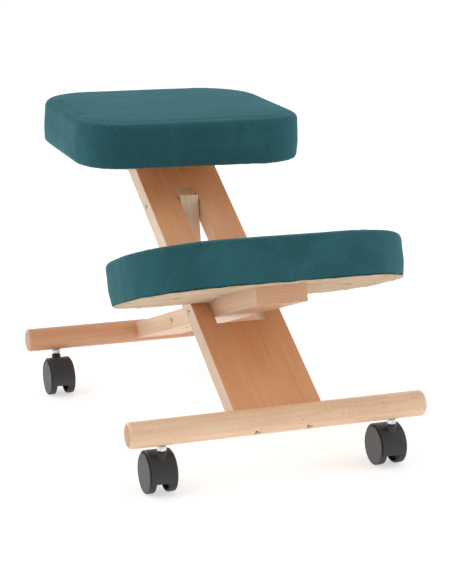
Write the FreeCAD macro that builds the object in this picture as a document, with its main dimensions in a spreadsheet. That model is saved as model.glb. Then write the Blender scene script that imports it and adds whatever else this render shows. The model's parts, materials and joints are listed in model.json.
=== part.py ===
"""Wooden kneeling chair on castors, as a parametric document of separate pieces.

Two beech planks cross like an X. The wide seat beam runs from the front rail up
to the seat. The narrow knee beam runs from the rear rail up to the knee pad and
passes through a window in the seat beam, where one bolt joins them. A prop hangs
from a bolt in the seat beam's slot and drops through a mortise in the knee beam;
a cross bolt in its long hole sets the height. Each round rail stands on two twin
wheel castors.

Row frame: X to the right, Y to the rear, Z up, millimetres. The origin is on the
floor, under the middle of the chair.
"""
import FreeCAD, Part
import math
import os

import Sketcher
from FreeCAD import Placement, Rotation, Vector

# Driving dimensions, millimetres and degrees
SIZES = {
    # Rails
    "rail_radius": 19.0,
    "rail_length": 458.0,
    "rail_spacing": 555.0,
    "rail_end_chamfer": 1.5,
    "rail_clearance_height": 73.7,
    # Seat beam
    "seat_beam_slope": 32.58,
    "seat_beam_drop": 2.7,
    "seat_beam_width": 137.0,
    "seat_beam_thickness": 29.5,
    "seat_beam_length": 620.4,
    "pivot_along_seat_beam": 227.4,
    "window_length": 85.6,
    "window_side_gap": 0.6,
    "slot_width": 34.0,
    "slot_top_setback": 132.7,
    "slot_foot_along": 335.0,
    "slot_corner_radius": 10.0,
    "plank_edge_radius": 2.0,
    # Knee beam
    "knee_beam_width": 77.6,
    "knee_beam_thickness": 27.5,
    "knee_beam_setback": 58.5,
    # Prop
    "prop_width": 30.0,
    "prop_depth": 27.0,
    "prop_upper_setback": 24.0,
    "prop_lower_along": 207.3,
    "prop_tail": 15.0,
    "prop_head_rise": 14.0,
    "prop_head_radius": 5.0,
    "prop_travel": 40.0,
    "prop_slack": 1.2,
    "prop_end_gap": 0.3,
    "prop_side_gap": 1.5,
    "mortise_end_gap": 2.5,
    "detent_depth": 1.8,
    "detent_count": 3.0,
    "prop_foot_radius": 5.0,
    # Pivot bolts
    "pivot_radius": 4.0,
    "pivot_clearance": 0.05,
    "pivot_head_radius": 6.0,
    "pivot_head_height": 3.0,
    "pivot_recess": 0.6,
    "pivot_recess_gap": 0.25,
    "pivot_sleeve_length": 22.0,
    "pivot_sleeve_radius": 5.0,
    # Rail bolts and barrel nuts
    "bolt_radius": 3.0,
    "bolt_clearance": 0.25,
    "bolt_head_radius": 5.0,
    "bolt_head_height": 6.0,
    "bolt_head_sunk": 2.0,
    "bolt_head_gap": 0.5,
    "bolt_socket_width": 5.0,
    "bolt_socket_depth": 3.0,
    "thread_clearance": 0.05,
    "barrel_radius": 5.0,
    "barrel_length": 16.0,
    "barrel_along": 52.0,
    "barrel_gap": 0.1,
    "barrel_bolt_overrun": 4.0,
    "front_bolt_spacing": 80.5,
    "rear_bolt_spacing": 40.0,
    # Seat pad
    "seat_width": 375.2,
    "seat_depth": 320.0,
    "seat_thickness": 67.0,
    "seat_front_radius": 73.0,
    "seat_rear_radius": 93.0,
    "seat_rear_bow": 8.3,
    "seat_top_draw": 2.6,
    "seat_foot": 4.5,
    "seat_hem_thickness": 1.2,
    "seat_crown": 3.6,
    "seat_tilt": 3.4,
    "seat_lead": 201.0,
    # Knee pad
    "knee_width": 425.6,
    "knee_depth": 252.8,
    "knee_thickness": 62.2,
    "knee_front_radius": 126.0,
    "knee_rear_radius": 80.0,
    "knee_rear_bow": 0.6,
    "knee_top_draw": 0.2,
    "knee_foot": 2.6,
    "knee_hem_thickness": 3.4,
    "knee_crown": 2.4,
    "knee_gap": 5.0,
    # Pad build
    "board_thickness": 12.0,
    "cover_thickness": 1.2,
    "hem_width": 24.0,
    "hem_notch_gap": 3.0,
    "pad_edge_radius": 11.0,
    "board_inset": 2.7,
    "board_play": 0.1,
    "least_corner_radius": 16.0,
    # Seat bearer
    "bearer_height": 25.4,
    "bearer_toe": 2.2,
    "bearer_edge_radius": 0.8,
    # Pad fixings
    "tee_flange_radius": 9.5,
    "tee_flange_thickness": 1.3,
    "tee_barrel_radius": 3.9,
    "tee_barrel_length": 10.0,
    "tee_gap": 0.1,
    "fixing_recess": 8.0,
    "fixing_head_height": 4.0,
    "knee_fixing_front": 88.0,
    "knee_fixing_rear": 34.0,
    "knee_fixing_spacing": 44.0,
    "seat_fixing_ahead": 13.0,
    "seat_fixing_spacing": 96.0,
    "seat_fixing_grip": 12.0,
    "screw_radius": 2.4,
    "screw_head_radius": 4.8,
    "screw_head_height": 3.0,
    "screw_sunk": 0.4,
    "screw_gap": 0.1,
    "seat_screw_length": 32.0,
    "seat_screw_ahead": 50.0,
    "seat_screw_spacing": 60.0,
    "bearer_screw_length": 42.0,
    "bearer_screw_setback": 56.4,
    "bearer_screw_spacing": 100.0,
    # Castors
    "wheel_radius": 29.3,
    "wheel_width": 11.0,
    "wheel_bore_gap": 0.05,
    "wheel_edge_radius": 1.6,
    "wheel_web_thickness": 3.0,
    "wheel_hub_radius": 7.5,
    "wheel_rim_thickness": 3.2,
    "wheel_cap_thickness": 1.6,
    "wheel_cap_rim": 1.1,
    "wheel_cap_gap": 0.05,
    "castor_width": 42.0,
    "castor_trail": 16.0,
    "castor_stem_inset": 49.9,
    "castor_web_half": 9.0,
    "castor_shell_gap": 1.0,
    "castor_shell_thickness": 2.5,
    "castor_shell_chamfer": 0.8,
    "castor_skirt": 8.0,
    "castor_boss_radius": 7.5,
    "castor_boss_top": 64.3,
    "stem_radius": 4.0,
    "stem_clearance": 0.05,
    "stem_reach_down": 24.0,
    "stem_reach_up": 14.0,
    "collar_radius": 7.0,
    "collar_foot_radius": 5.2,
    "collar_gap": 0.3,
    "collar_taper_height": 2.4,
    "insert_radius": 6.0,
    "insert_length": 16.0,
    "axle_radius": 3.0,
}

# Sizes that follow from the driving ones
LAYOUT = {
    "rail_height": "Sizes.rail_clearance_height + Sizes.rail_radius",
    "slope_cos": "cos(Sizes.seat_beam_slope)",
    "slope_sin": "sin(Sizes.seat_beam_slope)",
    "seat_base_y": "Sizes.seat_beam_drop * slope_sin",
    "seat_base_z": "rail_height - Sizes.seat_beam_drop * slope_cos",
    "pivot_y": "seat_base_y + Sizes.pivot_along_seat_beam * slope_cos",
    "pivot_z": "seat_base_z + Sizes.pivot_along_seat_beam * slope_sin",
    "knee_beam_slope": "atan((pivot_z - rail_height) / (Sizes.rail_spacing - pivot_y)) / 1deg",
    "cross_angle": "Sizes.seat_beam_slope + knee_beam_slope",
    "pivot_along_knee_beam": "(Sizes.rail_spacing - pivot_y) / cos(knee_beam_slope)",
    "slot_top_along": "Sizes.seat_beam_length - Sizes.slot_top_setback",
    "prop_upper_along": "slot_top_along - Sizes.prop_upper_setback",
    "upper_pin_y": "seat_base_y + prop_upper_along * slope_cos",
    "upper_pin_z": "seat_base_z + prop_upper_along * slope_sin",
    "lower_pin_y": "Sizes.rail_spacing - Sizes.prop_lower_along * cos(knee_beam_slope)",
    "lower_pin_z": "rail_height + Sizes.prop_lower_along * sin(knee_beam_slope)",
    "prop_length": "sqrt((upper_pin_y - lower_pin_y)^2 + (upper_pin_z - lower_pin_z)^2)",
    "prop_tilt": "atan((upper_pin_y - lower_pin_y) / (upper_pin_z - lower_pin_z)) / 1deg",
    "prop_lean": "knee_beam_slope - prop_tilt",
    "mortise_half": "Sizes.prop_depth / 2 / cos(prop_lean)"
                    " + Sizes.knee_beam_thickness / 2 * abs(tan(prop_lean))"
                    " + Sizes.mortise_end_gap",
    "seat_mitre": "Sizes.seat_beam_slope - Sizes.seat_tilt",
    "seat_joint_y": "seat_base_y + Sizes.seat_beam_length * slope_cos",
    "seat_joint_z": "seat_base_z + Sizes.seat_beam_length * slope_sin",
    "seat_y": "seat_joint_y - Sizes.seat_lead * cos(Sizes.seat_tilt)",
    "seat_z": "seat_joint_z - Sizes.seat_lead * sin(Sizes.seat_tilt)",
    "bearer_rear": "Sizes.seat_lead - Sizes.seat_beam_thickness / 2 / sin(seat_mitre)",
    "bearer_foot_rear": "bearer_rear - Sizes.bearer_height / tan(seat_mitre)",
    "bearer_front": "bearer_foot_rear - Sizes.bearer_toe",
    "bearer_screw_along": "Sizes.seat_beam_length - Sizes.bearer_screw_setback",
    "knee_face_along": "pivot_along_knee_beam + (Sizes.seat_beam_thickness"
                       " - Sizes.knee_beam_thickness * cos(cross_angle)) / 2 / sin(cross_angle)",
    "knee_front_along": "knee_face_along + Sizes.knee_gap + Sizes.knee_depth",
    "knee_beam_length": "knee_front_along - Sizes.knee_beam_setback",
    "knee_y": "Sizes.rail_spacing - knee_front_along * cos(knee_beam_slope)"
              " + Sizes.knee_beam_thickness / 2 * sin(knee_beam_slope)",
    "knee_z": "rail_height + knee_front_along * sin(knee_beam_slope)"
              " + Sizes.knee_beam_thickness / 2 * cos(knee_beam_slope)",
    "seat_rear_y": "seat_y + (Sizes.seat_depth + Sizes.seat_rear_bow) * cos(Sizes.seat_tilt)",
    "origin_y": "(knee_y + seat_rear_y) / 2",
    "prop_hole_radius": "Sizes.pivot_radius + Sizes.prop_slack",
    "shell_inner_radius": "Sizes.wheel_radius + Sizes.castor_shell_gap",
    "shell_outer_radius": "shell_inner_radius + Sizes.castor_shell_thickness",
    "wheel_inner_x": "Sizes.castor_width / 2 - Sizes.wheel_width",
    "stem_x": "Sizes.rail_length / 2 - Sizes.castor_stem_inset",
    "cap_radius": "Sizes.wheel_radius - Sizes.wheel_cap_rim",
}

# Seat of a rail bolt's head and the bolt's depth in its plank, from the rail's axis
RAIL_BOLT_SEAT = "(Sizes.rail_radius - Sizes.bolt_head_height - Sizes.bolt_head_sunk)"
RAIL_BOLT_DEPTH = "(Sizes.barrel_along + Sizes.barrel_radius + Sizes.barrel_bolt_overrun)"

doc = FreeCAD.newDocument("kneeling_chair")
sizes_sheet = doc.addObject("Spreadsheet::Sheet", "Sizes")
layout_sheet = doc.addObject("Spreadsheet::Sheet", "Layout")


def fill_sheets():
    """Write the driving sizes as plain numbers and the layout as formulas."""
    for row, (alias, size) in enumerate(SIZES.items(), start=1):
        sizes_sheet.set(f"A{row}", str(size))
        sizes_sheet.setAlias(f"A{row}", alias)
    doc.recompute()
    for row, (alias, formula) in enumerate(LAYOUT.items(), start=1):
        layout_sheet.set(f"A{row}", "=" + formula)
        layout_sheet.setAlias(f"A{row}", alias)
        layout_sheet.recompute()
    doc.recompute()


def number(expression):
    """Value of an expression over the two sheets."""
    result = sizes_sheet.evalExpression(str(expression))
    return float(getattr(result, "Value", result))


def size(alias):
    """Value of one driving size."""
    return float(getattr(sizes_sheet, alias))


def layout(alias):
    """Value of one derived size."""
    return float(getattr(layout_sheet, alias))


# Sketch and feature helpers
def new_body(label, placement=None):
    """An empty body that becomes the piece called label."""
    body = doc.addObject("PartDesign::Body", label)
    body.Label = label
    if placement is not None:
        body.Placement = placement
    return body


def new_sketch(body, role, offset="0", turn=0.0, start=("0", "0")):
    """A sketch on one origin plane of the body, moved along its normal by offset.

    turn rotates the sketch plane about the X axis, in degrees, at the point start
    of the origin plane's own second and third directions.
    """
    plane = next(item for item in body.Origin.OriginFeatures if item.Role == role)
    sketch = body.newObject("Sketcher::SketchObject", body.Name + "_sketch")
    sketch.AttachmentSupport = [(plane, "")]
    sketch.MapMode = "FlatFace"
    sketch.AttachmentOffset = Placement(Vector(), Rotation(Vector(1, 0, 0), turn))
    across = f"-({offset}) * sin({turn})"
    normal = f"({offset}) * cos({turn})"
    sketch.setExpression("AttachmentOffset.Base.y", f"({start[0]}) + {across}")
    sketch.setExpression("AttachmentOffset.Base.z", f"({start[1]}) + {normal}")
    return sketch


def bind(sketch, constraint, expression):
    """Add a dimension and tie it to the sheets."""
    index = sketch.addConstraint(constraint)
    sketch.setExpression(f"Constraints[{index}]", str(expression))


def lock_point(sketch, geometry, vertex, x, y):
    """Hold a vertex at the place given by two expressions."""
    bind(sketch, Sketcher.Constraint("DistanceX", -1, 1, geometry, vertex, number(x)), x)
    bind(sketch, Sketcher.Constraint("DistanceY", -1, 1, geometry, vertex, number(y)), y)


def draw_polygon(sketch, corners):
    """Closed outline of straight edges through corners, pairs of expressions."""
    points = [Vector(number(x), number(y), 0) for x, y in corners]
    first = sketch.GeometryCount
    for index, start in enumerate(points):
        end = points[(index + 1) % len(points)]
        line = sketch.addGeometry(Part.LineSegment(start, end))
        lock_point(sketch, line, 1, *corners[index])
    for index in range(len(points)):
        following = first + (index + 1) % len(points)
        sketch.addConstraint(Sketcher.Constraint("Coincident", first + index, 2, following, 1))
    return sketch


def draw_circle(sketch, x, y, radius):
    """Circle with its centre and radius given by expressions."""
    centre = Vector(number(x), number(y), 0)
    circle = sketch.addGeometry(Part.Circle(centre, Vector(0, 0, 1), number(radius)))
    lock_point(sketch, circle, 3, x, y)
    bind(sketch, Sketcher.Constraint("Radius", circle, number(radius)), radius)
    return sketch


def rectangle(left, right, low, high):
    """Corners of a rectangle, as expressions."""
    return [(left, low), (right, low), (right, high), (left, high)]


def band(half_width, low, high):
    """Corners of a rectangle centred on the sketch's upright axis."""
    return rectangle(f"-({half_width})", half_width, low, high)


def add_feature(body, kind, sketch, length, symmetric=True, reverse=False):
    """Pad or Pocket of a sketch, which must change the body's volume."""
    doc.recompute()
    before = body.Shape.Volume if body.Tip and not body.Shape.isNull() else 0.0
    feature = body.newObject("PartDesign::" + kind, body.Name + "_" + kind.lower())
    feature.Profile = sketch
    feature.SideType = "Symmetric" if symmetric else "One side"
    feature.Reversed = reverse
    feature.setExpression("Length", str(length))
    doc.recompute()
    change = body.Shape.Volume - before
    if (change <= 0) if kind == "Pad" else (change >= 0):
        raise RuntimeError(f"{feature.Name} changes the volume by {change:.3f}")
    return feature


def pad(body, sketch, length, **options):
    """Add material."""
    return add_feature(body, "Pad", sketch, length, **options)


def pocket(body, sketch, length, **options):
    """Take material away."""
    return add_feature(body, "Pocket", sketch, length, **options)


def revolve(body, sketch):
    """Full turn of a sketch about its own horizontal axis."""
    feature = body.newObject("PartDesign::Revolution", body.Name + "_revolution")
    feature.Profile = sketch
    feature.ReferenceAxis = (sketch, ["H_Axis"])
    feature.Angle = 360
    doc.recompute()
    return feature


def round_edges(body, radius, chosen):
    """Fillet the edges that the test chosen picks from the tip's shape."""
    base = body.Tip
    names = [f"Edge{index}" for index, edge in enumerate(base.Shape.Edges, start=1)
             if chosen(edge)]
    if not names:
        raise RuntimeError(f"no edge to round on {body.Label}")
    fillet = body.newObject("PartDesign::Fillet", body.Name + "_fillet")
    fillet.Base = (base, names)
    fillet.setExpression("Radius", str(radius))
    doc.recompute()
    return fillet


def runs_along(edge, axis, least=0.0):
    """True for a straight edge along the unit vector axis, at least this long."""
    if not isinstance(edge.Curve, Part.Line) or edge.Length < least:
        return False
    return abs(abs(edge.Curve.Direction.dot(axis)) - 1) < 1e-6


# Part helpers
def cylinder(name, radius, height, base=(0, 0, 0), axis=(0, 0, 1)):
    """Cylinder primitive with its sizes tied to the sheets."""
    item = doc.addObject("Part::Cylinder", name)
    item.setExpression("Radius", str(radius))
    item.setExpression("Height", str(height))
    item.Placement = Placement(Vector(*base), Rotation(Vector(0, 0, 1), Vector(*axis)))
    return item


def cone(name, foot_radius, top_radius, height, base=(0, 0, 0), axis=(0, 0, 1)):
    """Cone primitive with its sizes tied to the sheets."""
    item = doc.addObject("Part::Cone", name)
    item.setExpression("Radius1", str(foot_radius))
    item.setExpression("Radius2", str(top_radius))
    item.setExpression("Height", str(height))
    item.Placement = Placement(Vector(*base), Rotation(Vector(0, 0, 1), Vector(*axis)))
    return item


def hexagon(name, width, height, base=(0, 0, 0), axis=(0, 0, 1)):
    """Six-sided prism, width across its flats."""
    item = doc.addObject("Part::Prism", name)
    item.Polygon = 6
    item.setExpression("Circumradius", f"({width}) / 2 / cos(30)")
    item.setExpression("Height", str(height))
    item.Placement = Placement(Vector(*base), Rotation(Vector(0, 0, 1), Vector(*axis)))
    return item


def fused(name, parts):
    """Union of several shapes."""
    item = doc.addObject("Part::MultiFuse", name)
    item.Shapes = parts
    return item


def cut(name, base, tool):
    """Base less tool."""
    item = doc.addObject("Part::Cut", name)
    item.Base = base
    item.Tool = tool
    return item


def group(label, parts, placement):
    """One node that holds several separate solids."""
    item = doc.addObject("Part::Compound", label)
    item.Label = label
    item.Links = parts
    item.Placement = placement
    return item


def at(y, z, tilt=0.0, x=0.0):
    """Placement from chair coordinates, with y counted from the front rail.

    tilt turns the piece about X, in degrees.
    """
    return Placement(Vector(x, y - layout("origin_y"), z), Rotation(Vector(1, 0, 0), tilt))


def seat_beam_frame():
    """Y along the seat beam from the front rail, Z out of its upper face."""
    return at(layout("seat_base_y"), layout("seat_base_z"), size("seat_beam_slope"))


def knee_beam_frame():
    """Y along the knee beam away from the front, Z out of its upper face."""
    return at(size("rail_spacing"), layout("rail_height"), -layout("knee_beam_slope"))


def seat_frame():
    """Y rearward under the seat board from its front edge, Z through the seat."""
    return at(layout("seat_y"), layout("seat_z"), size("seat_tilt"))


def knee_frame():
    """Y rearward under the knee board from its front edge, Z through the pad."""
    return at(layout("knee_y"), layout("knee_z"), -layout("knee_beam_slope"))


# Bolts
def socket_bolt(name, x, y, z, axis, reach, head_radius, head_height, shank_radius):
    """Bolt with a hex socket. Its head sits at (x, y, z) and points along axis."""
    turn = Rotation(Vector(0, 0, 1), Vector(*axis))
    base = Vector(x, y, z)
    foot = base - turn.multVec(Vector(0, 0, number(reach)))
    mouth = base + turn.multVec(Vector(0, 0, number(head_height) - size("bolt_socket_depth")))
    head = cylinder(name + "_head", head_radius, head_height, base, axis)
    shank = cylinder(name + "_shank", shank_radius, reach, foot, axis)
    socket = hexagon(name + "_socket", "Sizes.bolt_socket_width", "Sizes.bolt_socket_depth + 1",
                     mouth, axis)
    return cut(name, fused(name + "_blank", [head, shank]), socket)


def wood_screw(name, x, y, z, axis, length):
    """Countersunk screw. Its flat top is at (x, y, z) and it drives along axis."""
    back = tuple(-value for value in axis)
    top = Vector(x, y, z)
    direction = Vector(*axis)
    head = cone(name + "_head", "Sizes.screw_radius", "Sizes.screw_head_radius",
                "Sizes.screw_head_height", top + direction * size("screw_head_height"), back)
    neck = number(length) - size("screw_head_height") - 2 * size("screw_radius")
    shank = cylinder(name + "_shank", "Sizes.screw_radius",
                     f"({length}) - Sizes.screw_head_height - 2 * Sizes.screw_radius",
                     top + direction * size("screw_head_height"), axis)
    tip = cone(name + "_tip", "Sizes.screw_radius", "Sizes.screw_radius / 4",
               "2 * Sizes.screw_radius", top + direction * (size("screw_head_height") + neck), axis)
    return fused(name, [head, shank, tip])


# Rails
def build_rail(label, y, bolt_turn, bolt_spacing, bolt_drop):
    """Round rail with its two bolt holes and two castor holes."""
    body = new_body(label, at(y, layout("rail_height")))
    half = "Sizes.rail_length / 2"
    radius = "Sizes.rail_radius"
    chamfer = "Sizes.rail_end_chamfer"
    revolve(body, draw_polygon(new_sketch(body, "XZ_Plane"),
                               [(f"-{half}", "0"), (half, "0"), (half, f"{radius} - {chamfer}"),
                                (f"{half} - {chamfer}", radius),
                                (f"-{half} + {chamfer}", radius),
                                (f"-{half}", f"{radius} - {chamfer}")]))
    hole = new_sketch(body, "XZ_Plane", "0", bolt_turn)
    seat = new_sketch(body, "XZ_Plane", RAIL_BOLT_SEAT, bolt_turn)
    for side in (-1, 1):
        x = f"{side} * ({bolt_spacing}) / 2"
        draw_circle(hole, x, f"-({bolt_drop})", "Sizes.bolt_radius + Sizes.bolt_clearance")
        draw_circle(seat, x, f"-({bolt_drop})", "Sizes.bolt_head_radius + Sizes.bolt_head_gap")
    pocket(body, hole, "Sizes.rail_radius * 2.2")
    pocket(body, seat, "Sizes.rail_radius", symmetric=False, reverse=True)
    castor = new_sketch(body, "XY_Plane", "-Sizes.rail_radius")
    for side in (-1, 1):
        draw_circle(castor, f"{side} * Layout.stem_x", "0", "Sizes.insert_radius")
    pocket(body, castor, "Sizes.insert_length + 1", symmetric=False, reverse=True)
    return body


def build_rail_bolts(label, y, beam_angle, drop, spacing):
    """Two bolts through a rail into its beam.

    beam_angle is the beam's direction from the rail, in degrees from +Y to +Z, and
    drop is how far the beam's middle lies below the rail's axis.
    """
    angle = math.radians(beam_angle)
    toward_head = Vector(0, -math.cos(angle), -math.sin(angle))
    upward = Vector(0, -abs(math.sin(angle)) * math.copysign(1, math.cos(angle)),
                    abs(math.cos(angle)))
    seat = toward_head * number(RAIL_BOLT_SEAT) - upward * drop
    reach = f"{RAIL_BOLT_SEAT} + {RAIL_BOLT_DEPTH}"
    bolts = [socket_bolt(f"{label}_{index}", side * spacing / 2, seat.y, seat.z,
                         tuple(toward_head), reach, "Sizes.bolt_head_radius",
                         "Sizes.bolt_head_height", "Sizes.bolt_radius")
             for index, side in enumerate((-1, 1), start=1)]
    return group(label, bolts, at(y, layout("rail_height")))


def build_barrel_nuts(label, spacing, along_sign, thickness, frame):
    """Two barrel nuts across a plank, each with its threaded hole."""
    nuts = []
    foot = number(f"-({thickness}) / 2 + ({thickness} - Sizes.barrel_length) / 2")
    along = along_sign * size("barrel_along")
    for index, side in enumerate((-1, 1), start=1):
        x = side * spacing / 2
        barrel = cylinder(f"{label}_{index}_barrel", "Sizes.barrel_radius", "Sizes.barrel_length",
                          (x, along, foot))
        thread = cylinder(f"{label}_{index}_thread", "Sizes.bolt_radius + Sizes.thread_clearance",
                          "Sizes.barrel_radius * 4",
                          (x, along - 2 * size("barrel_radius"), 0), (0, 1, 0))
        nuts.append(cut(f"{label}_{index}", barrel, thread))
    return group(label, nuts, frame)


def drill_for_rail(body, spacing, sign, thickness):
    """Cope a plank's end to its rail and drill it for the bolts and barrel nuts."""
    drop = "Sizes.seat_beam_drop" if sign > 0 else "0"
    cope = draw_circle(new_sketch(body, "YZ_Plane"), "0", drop, "Sizes.rail_radius")
    pocket(body, cope, "Sizes.rail_length")
    bolts = new_sketch(body, "XZ_Plane")
    nuts = new_sketch(body, "XY_Plane", f"-({thickness}) / 2")
    for side in (-1, 1):
        x = f"{side} * ({spacing}) / 2"
        draw_circle(bolts, x, "0", "Sizes.bolt_radius + Sizes.bolt_clearance")
        draw_circle(nuts, x, f"{sign} * Sizes.barrel_along", "Sizes.barrel_radius + Sizes.barrel_gap")
    pocket(body, bolts, f"{RAIL_BOLT_DEPTH} + 1", symmetric=False, reverse=sign < 0)
    reach = f"({thickness} + Sizes.barrel_length) / 2"
    pocket(body, nuts, reach, symmetric=False, reverse=True)


def bore_across(body, y, z, width):
    """Hole for a pivot bolt across a plank, with a recess for each end."""
    hole = draw_circle(new_sketch(body, "YZ_Plane"), y, z,
                       "Sizes.pivot_radius + Sizes.pivot_clearance")
    pocket(body, hole, f"({width}) * 1.1")
    recess = "Sizes.pivot_head_height + Sizes.pivot_recess"
    radius = "Sizes.pivot_head_radius + Sizes.pivot_recess_gap"
    right = new_sketch(body, "YZ_Plane", f"({width}) / 2 - ({recess})")
    pocket(body, draw_circle(right, y, z, radius), f"({recess}) * 2", symmetric=False, reverse=True)
    left = new_sketch(body, "YZ_Plane", f"-({width}) / 2 + ({recess})")
    pocket(body, draw_circle(left, y, z, radius), f"({recess}) * 2", symmetric=False)
    sleeve = new_sketch(body, "YZ_Plane", f"({width}) / 2 - Sizes.pivot_sleeve_length"
                        " - Sizes.pivot_recess - 1")
    pocket(body, draw_circle(sleeve, y, z, "Sizes.pivot_sleeve_radius + Sizes.pivot_clearance"),
           "Sizes.pivot_sleeve_length", symmetric=False, reverse=True)


def build_pivot(stem, width, frame, y, z):
    """Bolt and sleeve nut that close a pivot across a plank of this width."""
    half = number(width) / 2
    inner = half - number("Sizes.pivot_head_height + Sizes.pivot_recess")
    reach = f"({width}) - 2 * (Sizes.pivot_head_height + Sizes.pivot_recess) - 4"
    bolt = socket_bolt(stem + "_bolt_one", -inner, y, z, (-1, 0, 0), reach,
                       "Sizes.pivot_head_radius", "Sizes.pivot_head_height", "Sizes.pivot_radius")
    group(stem + "_bolt", [bolt], frame)
    head = cylinder(stem + "_nut_head", "Sizes.pivot_head_radius", "Sizes.pivot_head_height",
                    (inner, y, z), (1, 0, 0))
    sleeve_length = "Sizes.pivot_sleeve_length - Sizes.pivot_head_height"
    sleeve = cylinder(stem + "_nut_sleeve", "Sizes.pivot_sleeve_radius", sleeve_length,
                      (inner - number(sleeve_length), y, z), (1, 0, 0))
    thread = cylinder(stem + "_nut_thread", "Sizes.pivot_radius + Sizes.thread_clearance",
                      sleeve_length, (inner - number(sleeve_length) - 1, y, z), (1, 0, 0))
    socket = hexagon(stem + "_nut_socket", "Sizes.bolt_socket_width", "Sizes.bolt_socket_depth",
                     (inner + number("Sizes.pivot_head_height - Sizes.bolt_socket_depth / 2"), y, z),
                     (1, 0, 0))
    blank = fused(stem + "_nut_blank", [head, sleeve])
    nut = cut(stem + "_nut_one", cut(stem + "_nut_bored", blank, thread), socket)
    group(stem + "_nut", [nut], frame)


# Planks
def build_seat_beam():
    """Wide plank with the window for the knee beam and the slot for the prop."""
    body = new_body("seat_beam", seat_beam_frame())
    overrun = "Sizes.seat_beam_thickness / tan(Layout.seat_mitre)"
    blank = draw_polygon(new_sketch(body, "XY_Plane"),
                         band("Sizes.seat_beam_width / 2", "Sizes.rail_radius * 0.3",
                              f"Sizes.seat_beam_length + {overrun}"))
    pad(body, blank, "Sizes.seat_beam_thickness")
    along = Vector(0, 1, 0)
    least = size("seat_beam_length") / 2
    round_edges(body, "Sizes.plank_edge_radius", lambda edge: runs_along(edge, along, least))
    window = draw_polygon(new_sketch(body, "XY_Plane"),
                          band("Sizes.knee_beam_width / 2 + Sizes.window_side_gap",
                               "Sizes.pivot_along_seat_beam - Sizes.window_length / 2",
                               "Sizes.pivot_along_seat_beam + Sizes.window_length / 2"))
    pocket(body, window, "Sizes.seat_beam_thickness * 2")
    slot = draw_polygon(new_sketch(body, "XY_Plane"),
                        band("Sizes.slot_width / 2", "Sizes.slot_foot_along",
                             "Layout.slot_top_along"))
    pocket(body, slot, "Sizes.seat_beam_thickness * 2")
    half = size("slot_width") / 2
    limits = (size("slot_foot_along"), layout("slot_top_along"))
    round_edges(body, "Sizes.slot_corner_radius",
                lambda edge: runs_along(edge, Vector(0, 0, 1))
                and abs(abs(edge.CenterOfMass.x) - half) < 0.01
                and min(abs(edge.CenterOfMass.y - limit) for limit in limits) < 0.01)
    drill_for_rail(body, "Sizes.front_bolt_spacing", 1, "Sizes.seat_beam_thickness")
    bore_across(body, "Sizes.pivot_along_seat_beam", "0", "Sizes.seat_beam_width")
    bore_across(body, "Layout.prop_upper_along", "0", "Sizes.seat_beam_width")
    half_cut = "Sizes.seat_beam_thickness / 2 / tan(Layout.seat_mitre)"
    mitre = draw_polygon(new_sketch(body, "YZ_Plane"),
                         [(f"Sizes.seat_beam_length - 2 * {half_cut}", "Sizes.seat_beam_thickness"),
                          (f"Sizes.seat_beam_length + 2 * {half_cut}",
                           "-Sizes.seat_beam_thickness"),
                          (f"Sizes.seat_beam_length + 6 * {half_cut}",
                           "-Sizes.seat_beam_thickness"),
                          (f"Sizes.seat_beam_length + 6 * {half_cut}",
                           "Sizes.seat_beam_thickness")])
    pocket(body, mitre, "Sizes.seat_beam_width * 1.2")
    screws = new_sketch(body, "XY_Plane", "-Sizes.seat_beam_thickness / 2")
    for side in (-1, 1):
        draw_circle(screws, f"{side} * Sizes.bearer_screw_spacing / 2", "Layout.bearer_screw_along",
                    "Sizes.screw_radius")
    pocket(body, screws, "Sizes.seat_beam_thickness", symmetric=False, reverse=True)
    sink = new_sketch(body, "XY_Plane", "-Sizes.seat_beam_thickness / 2")
    for side in (-1, 1):
        draw_circle(sink, f"{side} * Sizes.bearer_screw_spacing / 2", "Layout.bearer_screw_along",
                    "Sizes.screw_head_radius + Sizes.screw_gap")
    pocket(body, sink, "Sizes.screw_head_height + Sizes.screw_sunk", symmetric=False, reverse=True)
    pilots = new_sketch(body, "XY_Plane", "0", -layout("seat_mitre"),
                        ("Sizes.seat_beam_length", "0"))
    for side in (-1, 1):
        draw_circle(pilots, f"{side} * Sizes.seat_screw_spacing / 2",
                    "-Sizes.seat_screw_ahead", "Sizes.screw_radius")
    pocket(body, pilots, "Sizes.seat_screw_length - Sizes.board_thickness", symmetric=False)
    through = new_sketch(body, "XY_Plane", "0", -layout("seat_mitre"),
                         ("Sizes.seat_beam_length", "0"))
    recess = new_sketch(body, "XY_Plane", "-Sizes.seat_fixing_grip", -layout("seat_mitre"),
                        ("Sizes.seat_beam_length", "0"))
    for side in (-1, 1):
        x = f"{side} * Sizes.seat_fixing_spacing / 2"
        draw_circle(through, x, "-Sizes.seat_fixing_ahead", "Sizes.bolt_radius + Sizes.bolt_clearance")
        draw_circle(recess, x, "-Sizes.seat_fixing_ahead", "Sizes.bolt_head_radius + Sizes.bolt_head_gap")
    pocket(body, through, "Sizes.seat_beam_thickness * 2", symmetric=False)
    pocket(body, recess, "Sizes.seat_beam_thickness * 2", symmetric=False)
    return body


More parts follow.
